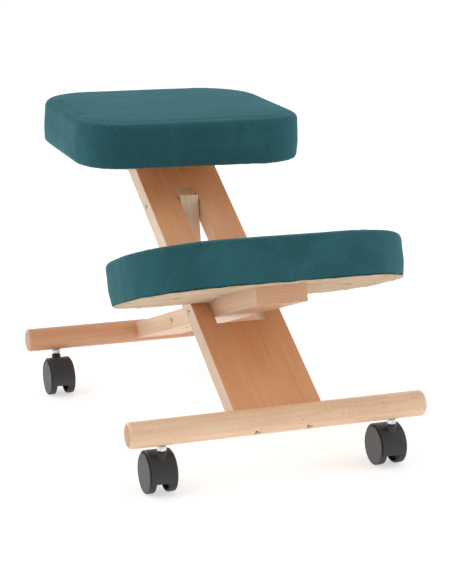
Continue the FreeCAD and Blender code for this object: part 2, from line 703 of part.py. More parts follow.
def build_knee_beam():
    """Narrow plank with the mortise for the prop."""
    body = new_body("knee_beam", knee_beam_frame())
    blank = draw_polygon(new_sketch(body, "XY_Plane"),
                         band("Sizes.knee_beam_width / 2", "-Layout.knee_beam_length",
                              "-Sizes.rail_radius * 0.3"))
    pad(body, blank, "Sizes.knee_beam_thickness")
    along = Vector(0, 1, 0)
    least = layout("knee_beam_length") / 2
    round_edges(body, "Sizes.plank_edge_radius / 2", lambda edge: runs_along(edge, along, least))
    mortise = draw_polygon(new_sketch(body, "XY_Plane"),
                           band("Sizes.prop_width / 2 + Sizes.prop_side_gap",
                                "-Sizes.prop_lower_along - Layout.mortise_half",
                                "-Sizes.prop_lower_along + Layout.mortise_half"))
    pocket(body, mortise, "Sizes.knee_beam_thickness * 2")
    drill_for_rail(body, "Sizes.rear_bolt_spacing", -1, "Sizes.knee_beam_thickness")
    pivot = draw_circle(new_sketch(body, "YZ_Plane"), "-Layout.pivot_along_knee_beam", "0",
                        "Sizes.pivot_radius + Sizes.pivot_clearance")
    pocket(body, pivot, "Sizes.knee_beam_width * 1.1")
    bore_across(body, "-Sizes.prop_lower_along", "0", "Sizes.knee_beam_width")
    through = new_sketch(body, "XY_Plane", "-Sizes.knee_beam_thickness / 2")
    recess = new_sketch(body, "XY_Plane", "-Sizes.knee_beam_thickness / 2")
    for x, inset in knee_fixing_places():
        y = f"-Layout.knee_front_along + ({inset})"
        draw_circle(through, x, y, "Sizes.bolt_radius + Sizes.bolt_clearance")
        draw_circle(recess, x, y, "Sizes.bolt_head_radius + Sizes.bolt_head_gap")
    pocket(body, through, "Sizes.knee_beam_thickness * 1.1", symmetric=False, reverse=True)
    pocket(body, recess, "Sizes.fixing_recess", symmetric=False, reverse=True)
    return body


def build_prop():
    """Link with a square head, a long hole for the cross bolt and three detents."""
    frame = at(layout("upper_pin_y"), layout("upper_pin_z"), -layout("prop_tilt"))
    body = new_body("prop_strut", frame)
    half = "Sizes.prop_depth / 2"
    shaft = draw_polygon(new_sketch(body, "YZ_Plane"),
                         band(half, "-Layout.prop_length - Sizes.prop_tail",
                              "Sizes.prop_head_rise"))
    pad(body, shaft, "Sizes.prop_width")
    across = Vector(1, 0, 0)
    floor = -layout("prop_length") - size("prop_tail")
    round_edges(body, "Sizes.prop_foot_radius", lambda edge: runs_along(edge, across)
                and abs(edge.CenterOfMass.z - floor) < 0.01)
    top = size("prop_head_rise")
    round_edges(body, "Sizes.prop_head_radius", lambda edge: runs_along(edge, across)
                and abs(edge.CenterOfMass.z - top) < 0.01 and edge.CenterOfMass.y > 0)
    pin = draw_circle(new_sketch(body, "YZ_Plane"), "0", "0",
                      "Sizes.pivot_radius + Sizes.pivot_clearance")
    pocket(body, pin, "Sizes.prop_width * 1.1")
    low = "-Layout.prop_length + Sizes.prop_slack - Sizes.prop_end_gap"
    radius = "Layout.prop_hole_radius"
    channel = draw_polygon(new_sketch(body, "YZ_Plane"),
                           band(radius, low, f"{low} + Sizes.prop_travel"))
    pocket(body, channel, "Sizes.prop_width * 1.1")
    for end in (low, f"{low} + Sizes.prop_travel"):
        pocket(body, draw_circle(new_sketch(body, "YZ_Plane"), "0", end, radius),
               "Sizes.prop_width * 1.1")
    detents = new_sketch(body, "YZ_Plane")
    count = int(size("detent_count"))
    for index in range(count):
        height = f"{low} + Sizes.prop_travel * {index} / {count - 1}"
        draw_circle(detents, "-Layout.prop_hole_radius - Sizes.detent_depth"
                    " + Sizes.pivot_radius", height, "Sizes.pivot_radius")
    pocket(body, detents, "Sizes.prop_width * 1.1")
    return body


# Pads
def knee_fixing_places():
    """Places of the knee pad's bolts: x, and distance behind the pad's front edge."""
    return [(f"{side} * Sizes.knee_fixing_spacing / 2", inset)
            for inset in ("Sizes.knee_fixing_front", "Sizes.knee_depth - Sizes.knee_fixing_rear")
            for side in (-1, 1)]


def seat_fixing_places():
    """Places of the seat's bolts: x, and distance behind the seat's front edge."""
    return [(f"{side} * Sizes.seat_fixing_spacing / 2", "Sizes.seat_lead - Sizes.seat_fixing_ahead")
            for side in (-1, 1)]


def seat_screw_places():
    """Places of the seat board's screws: x, and distance behind the seat's front edge."""
    return [(f"{side} * Sizes.seat_screw_spacing / 2", "Sizes.seat_lead - Sizes.seat_screw_ahead")
            for side in (-1, 1)]


def pad_section(name, kind, inset, height):
    """Outline of a pad, drawn in by inset, at a height above its board's underside.

    The front edge is straight, the corners are round and the rear edge is a wide
    arc that meets its corners smoothly.
    """
    half = f"(Sizes.{kind}_width / 2 - ({inset}))"
    front = f"({inset})"
    front_radius = f"max(Sizes.{kind}_front_radius - ({inset}); Sizes.least_corner_radius)"
    rear_radius = f"max(Sizes.{kind}_rear_radius - ({inset}); Sizes.least_corner_radius)"
    bow = f"Sizes.{kind}_rear_bow"
    chord = f"(Sizes.{kind}_width / 2)"
    big = f"(({chord}^2 + {bow}^2) / 2 / {bow})"
    centre = f"(Sizes.{kind}_depth + {bow} - {big})"
    swing = f"({big} - ({inset}))"
    corner_x = f"({half} - {rear_radius})"
    reach = f"sqrt(({swing} - {rear_radius})^2 - {corner_x}^2)"
    corner_y = f"({centre} + {reach})"
    meet_x = f"({corner_x} * {swing} / ({swing} - {rear_radius}))"
    meet_y = f"({centre} + {reach} * {swing} / ({swing} - {rear_radius}))"

    sketch = doc.addObject("Sketcher::SketchObject", name)
    sketch.Placement = Placement(Vector(0, 0, number(height)), Rotation())
    sketch.setExpression("Placement.Base.z", str(height))
    half_v, front_v, rf, rb = (number(item) for item in (half, front, front_radius, rear_radius))
    corner = Vector(number(corner_x), number(corner_y), 0)
    angle = math.atan2(number(reach), number(corner_x))
    up = Vector(0, 0, 1)

    def arc(middle, radius, start, end):
        circle = Part.Circle(middle, up, radius)
        return sketch.addGeometry(Part.ArcOfCircle(circle, start, end))

    quarter = math.pi / 2
    base = sketch.addGeometry(Part.LineSegment(Vector(rf - half_v, front_v, 0),
                                               Vector(half_v - rf, front_v, 0)))
    right_front = arc(Vector(half_v - rf, front_v + rf, 0), rf, -quarter, 0)
    right = sketch.addGeometry(Part.LineSegment(Vector(half_v, front_v + rf, 0),
                                                Vector(half_v, corner.y, 0)))
    right_rear = arc(corner, rb, 0, angle)
    rear = arc(Vector(0, number(centre), 0), number(swing), angle, math.pi - angle)
    left_rear = arc(Vector(-corner.x, corner.y, 0), rb, math.pi - angle, math.pi)
    left = sketch.addGeometry(Part.LineSegment(Vector(-half_v, corner.y, 0),
                                               Vector(-half_v, front_v + rf, 0)))
    left_front = arc(Vector(rf - half_v, front_v + rf, 0), rf, math.pi, 3 * quarter)

    lock_point(sketch, base, 1, f"{front_radius} - {half}", front)
    lock_point(sketch, base, 2, f"{half} - {front_radius}", front)
    lock_point(sketch, right, 1, half, f"{front} + {front_radius}")
    lock_point(sketch, right, 2, half, corner_y)
    lock_point(sketch, left, 1, f"-{half}", corner_y)
    lock_point(sketch, left, 2, f"-{half}", f"{front} + {front_radius}")
    lock_point(sketch, rear, 1, meet_x, meet_y)
    lock_point(sketch, rear, 2, f"-{meet_x}", meet_y)
    ring = [base, right_front, right, right_rear, rear, left_rear, left, left_front]
    for item, following in zip(ring, ring[1:] + ring[:1]):
        sketch.addConstraint(Sketcher.Constraint("Coincident", item, 2, following, 1))
    for item, radius in ((right_front, front_radius), (left_front, front_radius),
                         (right_rear, rear_radius), (left_rear, rear_radius), (rear, swing)):
        bind(sketch, Sketcher.Constraint("Radius", item, number(radius)), radius)
    return sketch


def foam_levels(kind, skin):
    """Heights and insets of a pad's sections from its board up, this far inside the cover.

    The sides draw in a little towards the top, its edge is round and the top rises
    to a low crown.
    """
    top = f"Sizes.{kind}_thickness - ({skin})"
    draw = f"Sizes.{kind}_top_draw"
    rows = [("Sizes.board_thickness", "0"),
            (f"Sizes.{kind}_thickness * 0.42", f"{draw} * 0.15"),
            (f"Sizes.{kind}_thickness * 0.68", f"{draw} * 0.5")]
    for turn in (0, 30, 60, 90):
        rows.append((f"{top} - Sizes.pad_edge_radius * (1 - sin({turn}))",
                     f"{draw} + Sizes.pad_edge_radius * (1 - cos({turn}))"))
    rows.append((f"{top} + Sizes.{kind}_crown * 0.62", f"Sizes.{kind}_depth * 0.14"))
    rows.append((f"{top} + Sizes.{kind}_crown", f"Sizes.{kind}_depth * 0.28"))
    return [(height, f"{inset} + ({skin})") for height, inset in rows]


def pad_levels(kind, skin, floor, foot):
    """Heights and insets of all a pad's sections, with its foot rounded in from floor up."""
    rise = f"(Sizes.board_thickness * 0.4 - ({floor}))"
    rows = [(f"{floor} + {rise} * (1 - sin({turn}))",
             f"{foot} * (1 - cos({turn})) + ({skin})") for turn in (90, 45, 0)]
    return rows + foam_levels(kind, skin)


def loft(name, kind, levels):
    """Solid through a pad's sections."""
    item = doc.addObject("Part::Loft", name)
    item.Sections = [pad_section(f"{name}_section", kind, inset, height)
                     for height, inset in levels]
    item.Solid = True
    item.Ruled = True
    return item


def extruded(name, section, height):
    """Straight prism over a section."""
    item = doc.addObject("Part::Extrusion", name)
    item.Base = section
    item.DirMode = "Custom"
    item.Dir = Vector(0, 0, 1)
    item.setExpression("LengthFwd", height)
    item.Solid = True
    return item


def build_cover(kind, frame, notch):
    """Fabric shell with a hem turned in under the board.

    notch is the half width of the beam that passes under the rear hem, or None. Inside,
    the foot stays clear of the board's lower edge.
    """
    hem = f"Sizes.{kind}_hem_thickness"
    below = f"({hem} + Sizes.cover_thickness)"
    foot = f"Sizes.{kind}_foot"
    clear = f"min({foot}; Sizes.board_inset - Sizes.board_play)"
    void = loft(f"{kind}_void", kind, pad_levels(kind, "Sizes.cover_thickness", "0", clear))
    opening = extruded(f"{kind}_hem_opening",
                       pad_section(f"{kind}_hem_section", kind, "Sizes.hem_width", f"-{below}"),
                       f"{below} + Sizes.cover_thickness")
    tools = [void, opening]
    if notch:
        half = f"(({notch}) + Sizes.hem_notch_gap)"
        box = doc.addObject("Part::Box", f"{kind}_notch")
        box.setExpression("Length", f"2 * {half}")
        box.setExpression("Width", f"Sizes.{kind}_depth")
        box.setExpression("Height", below)
        box.Placement = Placement(Vector(-number(half), size(f"{kind}_depth") / 2,
                                         -number(below)), Rotation())
        tools.append(box)
    outside = loft(f"{kind}_outside", kind, pad_levels(kind, "0", f"-{hem}", foot))
    cover = cut(f"{kind}_cover", outside, fused(f"{kind}_cover_tools", tools))
    cover.Placement = frame


def build_foam(kind, frame):
    """Cushion on top of the board, inside the cover."""
    foam = loft(f"{kind}_foam", kind, foam_levels(kind, "Sizes.cover_thickness"))
    foam.Placement = frame


def build_board(kind, frame, fixings, screws):
    """Plywood board with holes for its tee nuts and screws."""
    inset = "Sizes.board_inset + Sizes.cover_thickness"
    blank = extruded(f"{kind}_board_blank", pad_section(f"{kind}_board_section", kind, inset, "0"),
                     "Sizes.board_thickness")
    top = size("board_thickness")
    holes = []
    for index, (x, y) in enumerate(fixings, start=1):
        stem = f"{kind}_tee_{index}"
        holes.append(cylinder(stem + "_hole", "Sizes.tee_barrel_radius + Sizes.tee_gap",
                              "Sizes.board_thickness * 2", (number(x), number(y), -top / 2)))
        holes.append(cylinder(stem + "_seat", "Sizes.tee_flange_radius + Sizes.tee_gap",
                              "Sizes.tee_flange_thickness * 2",
                              (number(x), number(y), top - size("tee_flange_thickness"))))
    for index, (x, y) in enumerate(screws, start=1):
        holes.append(cone(f"{kind}_screw_sink_{index}", "Sizes.screw_radius",
                          "Sizes.screw_head_radius", "Sizes.screw_head_height",
                          (number(x), number(y), top - size("screw_head_height"))))
        holes.append(cylinder(f"{kind}_screw_way_{index}", "Sizes.screw_radius",
                              "Sizes.board_thickness * 2", (number(x), number(y), -top / 2)))
    board = cut(f"{kind}_board", blank, fused(f"{kind}_board_holes", holes))
    board.Placement = frame


def build_tee_nuts(kind, frame, fixings):
    """Flanged nuts pressed into the board from above."""
    top = size("board_thickness")
    nuts = []
    for index, (x, y) in enumerate(fixings, start=1):
        stem = f"{kind}_tee_nut_{index}"
        place = (number(x), number(y))
        flange = cylinder(stem + "_flange", "Sizes.tee_flange_radius", "Sizes.tee_flange_thickness",
                          (*place, top - size("tee_flange_thickness")))
        barrel = cylinder(stem + "_barrel", "Sizes.tee_barrel_radius", "Sizes.tee_barrel_length",
                          (*place, top - size("tee_barrel_length")))
        thread = cylinder(stem + "_thread", "Sizes.bolt_radius + Sizes.thread_clearance",
                          "Sizes.board_thickness * 2", (*place, -top / 2))
        nuts.append(cut(stem, fused(stem + "_blank", [flange, barrel]), thread))
    group(f"{kind}_tee_nuts", nuts, frame)


def build_pads():
    """The seat and the knee pad, each a board, foam, cover and tee nuts."""
    for kind, frame, fixings, screws, notch in (
            ("seat", seat_frame(), seat_fixing_places(), seat_screw_places(), None),
            ("knee", knee_frame(), knee_fixing_places(), [], "Sizes.knee_beam_width / 2")):
        build_board(kind, frame, fixings, screws)
        build_foam(kind, frame)
        build_cover(kind, frame, notch)
        build_tee_nuts(kind, frame, fixings)


def build_fixings(label, places, grip, frame):
    """Bolts that hold a pad's board from below, through this much of the plank."""
    reach = f"{grip} + Sizes.board_thickness - 1"
    bolts = [socket_bolt(f"{label}_{index}", number(x), number(y), -number(grip), (0, 0, -1), reach,
                         "Sizes.bolt_head_radius", "Sizes.fixing_head_height", "Sizes.bolt_radius")
             for index, (x, y) in enumerate(places, start=1)]
    return group(label, bolts, frame)


def build_bearer():
    """Wedge between the seat board and the seat beam's upper face."""
    body = new_body("seat_bearer", seat_frame())
    outline = draw_polygon(new_sketch(body, "YZ_Plane"),
                           [("Layout.bearer_front", "0"),
                            ("Layout.bearer_front", "-Sizes.bearer_height"),
                            ("Layout.bearer_foot_rear", "-Sizes.bearer_height"),
                            ("Layout.bearer_rear", "0")])
    pad(body, outline, "Sizes.seat_beam_width")
    across = Vector(1, 0, 0)
    low = -size("bearer_height")
    front = layout("bearer_front")
    round_edges(body, "Sizes.bearer_edge_radius", lambda edge: runs_along(edge, across)
                and abs(edge.CenterOfMass.z - low) < 0.01
                and abs(edge.CenterOfMass.y - front) < 0.01)
    ways = new_sketch(body, "XY_Plane")
    for x, y in seat_screw_places():
        draw_circle(ways, x, y, "Sizes.screw_radius")
    pocket(body, ways, "Sizes.bearer_height", symmetric=False)
    half = "Sizes.seat_beam_thickness / 2"
    foot = ("Sizes.seat_lead - Sizes.bearer_screw_setback * cos(Layout.seat_mitre)"
            f" - {half} * sin(Layout.seat_mitre)",
            f"{half} * cos(Layout.seat_mitre)"
            " - Sizes.bearer_screw_setback * sin(Layout.seat_mitre)")
    pilots = new_sketch(body, "XY_Plane", "0", layout("seat_mitre"), foot)
    for side in (-1, 1):
        draw_circle(pilots, f"{side} * Sizes.bearer_screw_spacing / 2", "0", "Sizes.screw_radius")
    pocket(body, pilots, "Sizes.bearer_screw_length - Sizes.seat_beam_thickness",
           symmetric=False, reverse=True)
    return body


def build_screws():
    """Wood screws of the seat board and of its bearer."""
    top = size("board_thickness")
    seat = [wood_screw(f"seat_screw_{index}", number(x), number(y), top, (0, 0, -1),
                       "Sizes.seat_screw_length")
            for index, (x, y) in enumerate(seat_screw_places(), start=1)]
    group("seat_board_screws", seat, seat_frame())
    back = size("screw_sunk") - size("seat_beam_thickness") / 2
    bearer = [wood_screw(f"bearer_screw_{index}", side * size("bearer_screw_spacing") / 2,
                         layout("bearer_screw_along"), back, (0, 0, 1),
                         "Sizes.bearer_screw_length")
              for index, side in enumerate((-1, 1), start=1)]
    group("seat_bearer_screws", bearer, seat_beam_frame())


# Castors
def build_castor(name, x, y, trail_sign):
    """Twin wheel castor: hood, stem, axle, two wheels and their caps.

    trail_sign is 1 where the axle lies behind the stem and -1 where it lies ahead.
    """
    axle = at(y + trail_sign * size("castor_trail"), size("wheel_radius"), 0, x)
    hood = new_body(name + "_hood", axle)
    half = "Sizes.castor_width / 2"
    web = "Sizes.castor_web_half"
    chamfer = "Sizes.castor_shell_chamfer"
    hole = "(Sizes.axle_radius + Sizes.wheel_bore_gap)"
    right = [(web, hole), (web, "Layout.shell_inner_radius"), (half, "Layout.shell_inner_radius"),
             (half, f"Layout.shell_outer_radius - {chamfer}"),
             (f"{half} - {chamfer}", "Layout.shell_outer_radius")]
    left = [(f"-({across})", radius) for across, radius in reversed(right)]
    revolve(hood, draw_polygon(new_sketch(hood, "XZ_Plane"), right + left))
    below = draw_polygon(new_sketch(hood, "YZ_Plane"),
                         band("Layout.shell_outer_radius * 1.2", "-Layout.shell_outer_radius * 1.2",
                              "-Sizes.castor_skirt"))
    pocket(hood, below, "Sizes.castor_width * 1.2")
    stem_y = f"{-trail_sign} * Sizes.castor_trail"
    boss = draw_circle(new_sketch(hood, "XY_Plane"), "0", stem_y, "Sizes.castor_boss_radius")
    pad(hood, boss, "Sizes.castor_boss_top - Sizes.wheel_radius", symmetric=False)
    bore = new_sketch(hood, "XY_Plane", "Sizes.castor_boss_top - Sizes.wheel_radius")
    draw_circle(bore, "0", stem_y, "Sizes.stem_radius + Sizes.stem_clearance")
    pocket(hood, bore, "Sizes.stem_reach_down + 1", symmetric=False)

    stem_frame = at(y, 0, 0, x)
    collar_foot = size("castor_boss_top") + size("collar_gap")
    foot = size("castor_boss_top") - size("stem_reach_down")
    shank = cylinder(name + "_shank", "Sizes.stem_radius",
                     "Sizes.rail_clearance_height + Sizes.stem_reach_up"
                     " - Sizes.castor_boss_top + Sizes.stem_reach_down", (0, 0, foot))
    taper = cone(name + "_collar_taper", "Sizes.collar_foot_radius", "Sizes.collar_radius",
                 "Sizes.collar_taper_height", (0, 0, collar_foot))
    collar = cylinder(name + "_collar", "Sizes.collar_radius",
                      "Sizes.rail_clearance_height - Sizes.castor_boss_top - Sizes.collar_gap"
                      " - Sizes.collar_taper_height",
                      (0, 0, collar_foot + size("collar_taper_height")))
    group(name + "_stem", [fused(name + "_stem_one", [shank, taper, collar])], stem_frame)

    cap_inner = "(Sizes.castor_width / 2 - Sizes.wheel_cap_thickness)"
    pin = cylinder(name + "_pin", "Sizes.axle_radius", f"2 * {cap_inner} - 1",
                   (-number(cap_inner) + 0.5, 0, 0), (1, 0, 0))
    group(name + "_axle", [pin], axle)
    for side, direction in (("left", -1), ("right", 1)):
        build_wheel(name, side, direction, axle)


def build_wheel(name, side, direction, axle):
    """One wheel and its cap, on the side given by direction."""
    inner = "Layout.wheel_inner_x"
    outer = "Sizes.castor_width / 2"
    edge = "Sizes.wheel_edge_radius"
    bore = "(Sizes.axle_radius + Sizes.wheel_bore_gap)"
    radius = "Sizes.wheel_radius"
    rim = "(Sizes.wheel_radius - Sizes.wheel_rim_thickness)"
    hub = "Sizes.wheel_hub_radius"
    seat = "(Layout.cap_radius + Sizes.wheel_cap_gap)"
    recess = f"({outer} - Sizes.wheel_cap_thickness)"
    web_in = f"({recess} - Sizes.wheel_web_thickness)"
    profile = [
        (inner, bore), (inner, hub), (web_in, hub), (web_in, rim), (inner, rim),
        (inner, f"{radius} - {edge}"), (f"{inner} + {edge} * 0.3", f"{radius} - {edge} * 0.3"),
        (f"{inner} + {edge}", radius), (f"{outer} - {edge} * 0.5", radius),
        (outer, f"{radius} - {edge} * 0.4"), (outer, seat), (recess, seat), (recess, bore),
    ]
    wheel = new_body(f"{name}_wheel_{side}", axle)
    drawn = [(f"{direction} * ({x})", y) for x, y in profile]
    revolve(wheel, draw_polygon(new_sketch(wheel, "XZ_Plane"), drawn))
    cap = new_body(f"{name}_cap_{side}", axle)
    dome = [(recess, "0"), (recess, "Layout.cap_radius"), (f"{outer} - 0.5", "Layout.cap_radius"),
            (outer, "Layout.cap_radius - 1.2"), (f"{outer} - 0.4", "Layout.cap_radius * 0.3"),
            (f"{outer} - 0.4", "0")]
    drawn = [(f"{direction} * ({x})", y) for x, y in dome]
    revolve(cap, draw_polygon(new_sketch(cap, "XZ_Plane"), drawn))


def build_castors():
    """Four castors and the threaded inserts that carry their stems."""
    for end, y, trail in (("front", 0.0, 1), ("rear", size("rail_spacing"), -1)):
        inserts = []
        for side, direction in (("left", -1), ("right", 1)):
            x = direction * layout("stem_x")
            build_castor(f"{end}_{side}", x, y, trail)
            stem = f"{end}_{side}_insert"
            foot = size("rail_clearance_height") + 1
            wall = cylinder(stem + "_wall", "Sizes.insert_radius", "Sizes.insert_length - 1",
                            (x, 0, foot))
            thread = cylinder(stem + "_thread", "Sizes.stem_radius + Sizes.thread_clearance",
                              "Sizes.insert_length * 2", (x, 0, foot - 4))
            inserts.append(cut(stem, wall, thread))
        group(f"{end}_castor_inserts", inserts, at(y, 0))


def build_model():
    """Every piece of the chair."""
    slope = size("seat_beam_slope")
    knee_slope = layout("knee_beam_slope")
    build_rail("front_rail", 0.0, slope, "Sizes.front_bolt_spacing", "Sizes.seat_beam_drop")
    build_rail("rear_rail", size("rail_spacing"), 180 - knee_slope, "Sizes.rear_bolt_spacing", "0")
    build_seat_beam()
    build_knee_beam()
    build_prop()
    build_rail_bolts("front_rail_bolts", 0.0, slope, size("seat_beam_drop"),
                     size("front_bolt_spacing"))
    build_rail_bolts("rear_rail_bolts", size("rail_spacing"), 180 - knee_slope, 0.0,
                     size("rear_bolt_spacing"))
    build_barrel_nuts("front_barrel_nuts", size("front_bolt_spacing"), 1,
                      "Sizes.seat_beam_thickness", seat_beam_frame())
    build_barrel_nuts("rear_barrel_nuts", size("rear_bolt_spacing"), -1,
                      "Sizes.knee_beam_thickness", knee_beam_frame())
    build_pivot("main_pivot", "Sizes.seat_beam_width", seat_beam_frame(),
                size("pivot_along_seat_beam"), 0)
    build_pivot("prop_upper", "Sizes.seat_beam_width", seat_beam_frame(),
                layout("prop_upper_along"), 0)
    build_pivot("prop_lower", "Sizes.knee_beam_width", knee_beam_frame(),
                -size("prop_lower_along"), 0)
    build_pads()
    build_fixings("seat_board_bolts", seat_fixing_places(), "Sizes.seat_fixing_grip", seat_frame())
    build_fixings("knee_board_bolts", knee_fixing_places(),
                  "(Sizes.knee_beam_thickness - Sizes.fixing_recess)", knee_frame())
    build_bearer()
    build_screws()
    build_castors()
    doc.recompute()


PIECES = [
    "front_rail", "rear_rail", "seat_beam", "knee_beam", "prop_strut",
    "front_rail_bolts", "rear_rail_bolts", "front_barrel_nuts", "rear_barrel_nuts",
    "main_pivot_bolt", "main_pivot_nut", "prop_upper_bolt", "prop_upper_nut",
    "prop_lower_bolt", "prop_lower_nut",
    "seat_board", "seat_foam", "seat_cover", "seat_tee_nuts", "seat_board_bolts",
    "seat_bearer", "seat_board_screws", "seat_bearer_screws",
    "knee_board", "knee_foam", "knee_cover", "knee_tee_nuts", "knee_board_bolts",
    "front_castor_inserts", "rear_castor_inserts",
] + [f"{end}_{side}_{piece}"
     for end in ("front", "rear") for side in ("left", "right")
     for piece in ("hood", "stem", "axle", "wheel_left", "wheel_right", "cap_left", "cap_right")]


def export():
    """Check every object, then write one file for each piece."""
    for item in doc.Objects:
        if "Invalid" in item.State or "Error" in item.State:
            raise RuntimeError(f"{item.Label} failed: {item.State}")
    os.makedirs("parts", exist_ok=True)
    by_label = {item.Label: item for item in doc.Objects}
    for label in PIECES:
        shape = by_label[label].Shape
        if shape.isNull() or not shape.isValid():
            raise RuntimeError(f"{label} has no valid shape")
        shape.exportStep(os.path.join("parts", label + ".step"))
    for alias in LAYOUT:
        print(f"{alias} = {layout(alias):.3f}")


fill_sheets()
build_model()
export()
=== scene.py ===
"""Looks of a wooden kneeling chair on castors.

The frame gives every solid in metres, +Z up, with the origin on the floor. This
script dresses the beech planks and rails, pads the seat and the knee rest with
simulated cloth covers, finishes the castors and fasteners, and sets up the studio.
"""

import json
import logging
import math
from contextlib import contextmanager
from dataclasses import dataclass, field
from enum import Enum
from typing import Callable, Iterator, Optional, Sequence

import bmesh
import bpy
import numpy as np
from mathutils import Matrix, Vector, noise

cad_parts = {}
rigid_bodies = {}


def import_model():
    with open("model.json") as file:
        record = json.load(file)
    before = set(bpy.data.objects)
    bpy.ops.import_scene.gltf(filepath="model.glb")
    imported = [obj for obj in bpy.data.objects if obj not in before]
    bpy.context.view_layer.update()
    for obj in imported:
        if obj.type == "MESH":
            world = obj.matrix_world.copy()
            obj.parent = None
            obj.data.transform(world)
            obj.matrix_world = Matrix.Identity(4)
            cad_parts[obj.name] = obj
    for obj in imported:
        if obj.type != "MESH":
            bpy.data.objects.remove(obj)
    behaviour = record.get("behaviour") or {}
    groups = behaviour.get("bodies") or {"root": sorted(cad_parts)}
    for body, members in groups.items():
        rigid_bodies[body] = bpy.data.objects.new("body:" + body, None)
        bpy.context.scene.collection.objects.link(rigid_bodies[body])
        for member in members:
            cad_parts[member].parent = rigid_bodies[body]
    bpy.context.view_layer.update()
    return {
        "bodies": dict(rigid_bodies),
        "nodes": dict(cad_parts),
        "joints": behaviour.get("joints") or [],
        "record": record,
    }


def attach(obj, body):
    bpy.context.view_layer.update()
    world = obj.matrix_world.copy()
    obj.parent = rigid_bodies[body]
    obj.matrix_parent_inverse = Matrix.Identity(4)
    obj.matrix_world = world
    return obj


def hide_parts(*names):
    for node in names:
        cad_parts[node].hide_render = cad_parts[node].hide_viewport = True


logging.basicConfig(level=logging.INFO, format="%(message)s")
LOG = logging.getLogger("kneeling_chair")

MM = 0.001

# Angles of the pieces against the floor, in degrees about X
SEAT_BEAM_SLOPE = 32.58
KNEE_BEAM_SLOPE = -18.37
PROP_SLOPE = 79.45
SEAT_TILT = 3.4

# Vertices closer than this are merged
MERGE_DISTANCE = 0.01 * MM
# Faces that meet at less than this many degrees are shaded as one surface
SHADE_ANGLE = 38
# A face looks along an axis when its normal has at least this share of it
FACING = 0.8
# Turn of the ring pattern's wave, in radians, over one unit at a scale of 1
RING_PHASE = 20

# Bands of a pad, each a start and a width, as shares of its height or half width
BRIM = (0.7, 0.2)
END_RISE = (0.06, 0.3)
TOP = (0.8, 0.2)
# Ridges of a pad's shoulder, each a height and a spread, as shares of its height
FULL_SHOULDER = (0.9, 0.12)
WAVY_SHOULDER = (0.86, 0.1)
# Shares of a pad's height that its hem's scallops and its sag reach up to
SCALLOP_HEIGHT = 0.3
SAG_HEIGHT = 0.25
# Faint waves, soft dimples and hem scallops in a metre of a cover, along X, Y and Z
WAVES = np.array((30, 30, 9))
DIMPLES = np.array((9, 9, 9))
SCALLOPS = 80
# Distance from a pad's middle over which its hem's waves begin, a start and a width
HEM_REACH = (60 * MM, 40 * MM)
# Steepness over which scallops begin, as the start and the width of a normal's Z
HEM_STEEPNESS = (-0.9, 0.4)
# A cover's face is part of its sides when its normal has less than this much Z
SIDE_NORMAL = 0.6
# The hem's level is read within so many degrees, beyond this share of its reach
HEM_SPAN = 6
HEM_SHARE = 0.85
# Points round a pad's edge: for its lining, for its weave and for its staples
COARSE_RING = 180
WEAVE_RING = 361
FINE_RING = 720

Colour = tuple[float, float, float, float]


def srgb(red: int, green: int, blue: int) -> Colour:
    """Scene colour for a screen colour.

    Args:
        red: Red, 0 to 255.
        green: Green, 0 to 255.
        blue: Blue, 0 to 255.

    Returns:
        The linear colour, with full alpha.
    """
    def linear(part: int) -> float:
        """Linear value of one part."""
        share = part / 255
        return share / 12.92 if share <= 0.04045 else ((share + 0.055) / 1.055) ** 2.4

    return (linear(red), linear(green), linear(blue), 1.0)


class Castor(Enum):
    """The four castors, by their place under the chair."""

    FRONT_LEFT = "front_left"
    FRONT_RIGHT = "front_right"
    REAR_LEFT = "rear_left"
    REAR_RIGHT = "rear_right"

    @property
    def rail_body(self) -> str:
        """Body that carries the castor's stem."""
        return "seat_frame" if self.value.startswith("front") else "knee_frame"


class Grain(Enum):
    """Turn, in degrees, that brings a piece's grain onto the Y axis of its pattern."""

    SEAT_BEAM = (-SEAT_BEAM_SLOPE, 0.0, 0.0)
    KNEE_BEAM = (-KNEE_BEAM_SLOPE, 0.0, 0.0)
    PROP = (-PROP_SLOPE, 0.0, 0.0)
    RAIL = (0.0, 0.0, 90.0)


# Selecting and editing
def assign(item: object, **values: object) -> None:
    """Set several attributes of one item."""
    for name, value in values.items():
        setattr(item, name, value)


def select_only(*pieces: bpy.types.Object) -> None:
    """Leave just these objects selected, with the first one active.

    Args:
        *pieces: Objects to select.
    """
    bpy.ops.object.select_all(action="DESELECT")
    for piece in pieces:
        piece.select_set(True)
    bpy.context.view_layer.objects.active = pieces[0]


@contextmanager
def editing(piece: bpy.types.Object, kind: str = "FACE") -> Iterator[bmesh.types.BMesh]:
    """Edit mode on one piece, with nothing selected at the start.

    Args:
        piece: Object to edit.
        kind: VERT, EDGE or FACE select mode.

    Yields:
        The edit mesh.
    """
    select_only(piece)
    bpy.ops.object.mode_set(mode="EDIT")
    bpy.ops.mesh.select_mode(type=kind)
    bpy.ops.mesh.select_all(action="DESELECT")
    yield bmesh.from_edit_mesh(piece.data)
    bpy.ops.object.mode_set(mode="OBJECT")


def choose(piece: bpy.types.Object, parts: Sequence, test: Callable[[object], bool]) -> int:
    """Select the faces or edges that pass a test, in edit mode.

    Args:
        piece: Object in edit mode.
        parts: Faces or edges of its edit mesh.
        test: True for the ones to select.

    Returns:
        How many were selected.
    """
    count = 0
    for part in parts:
        wanted = test(part)
        part.select_set(wanted)
        count += wanted
    bmesh.update_edit_mesh(piece.data)
    return count


def merge_doubles() -> None:
    """Make the mesh in edit mode one closed skin again, and leave all of it selected."""
    bpy.ops.mesh.customdata_custom_splitnormals_clear()
    bpy.ops.mesh.select_all(action="SELECT")
    bpy.ops.mesh.remove_doubles(threshold=MERGE_DISTANCE)


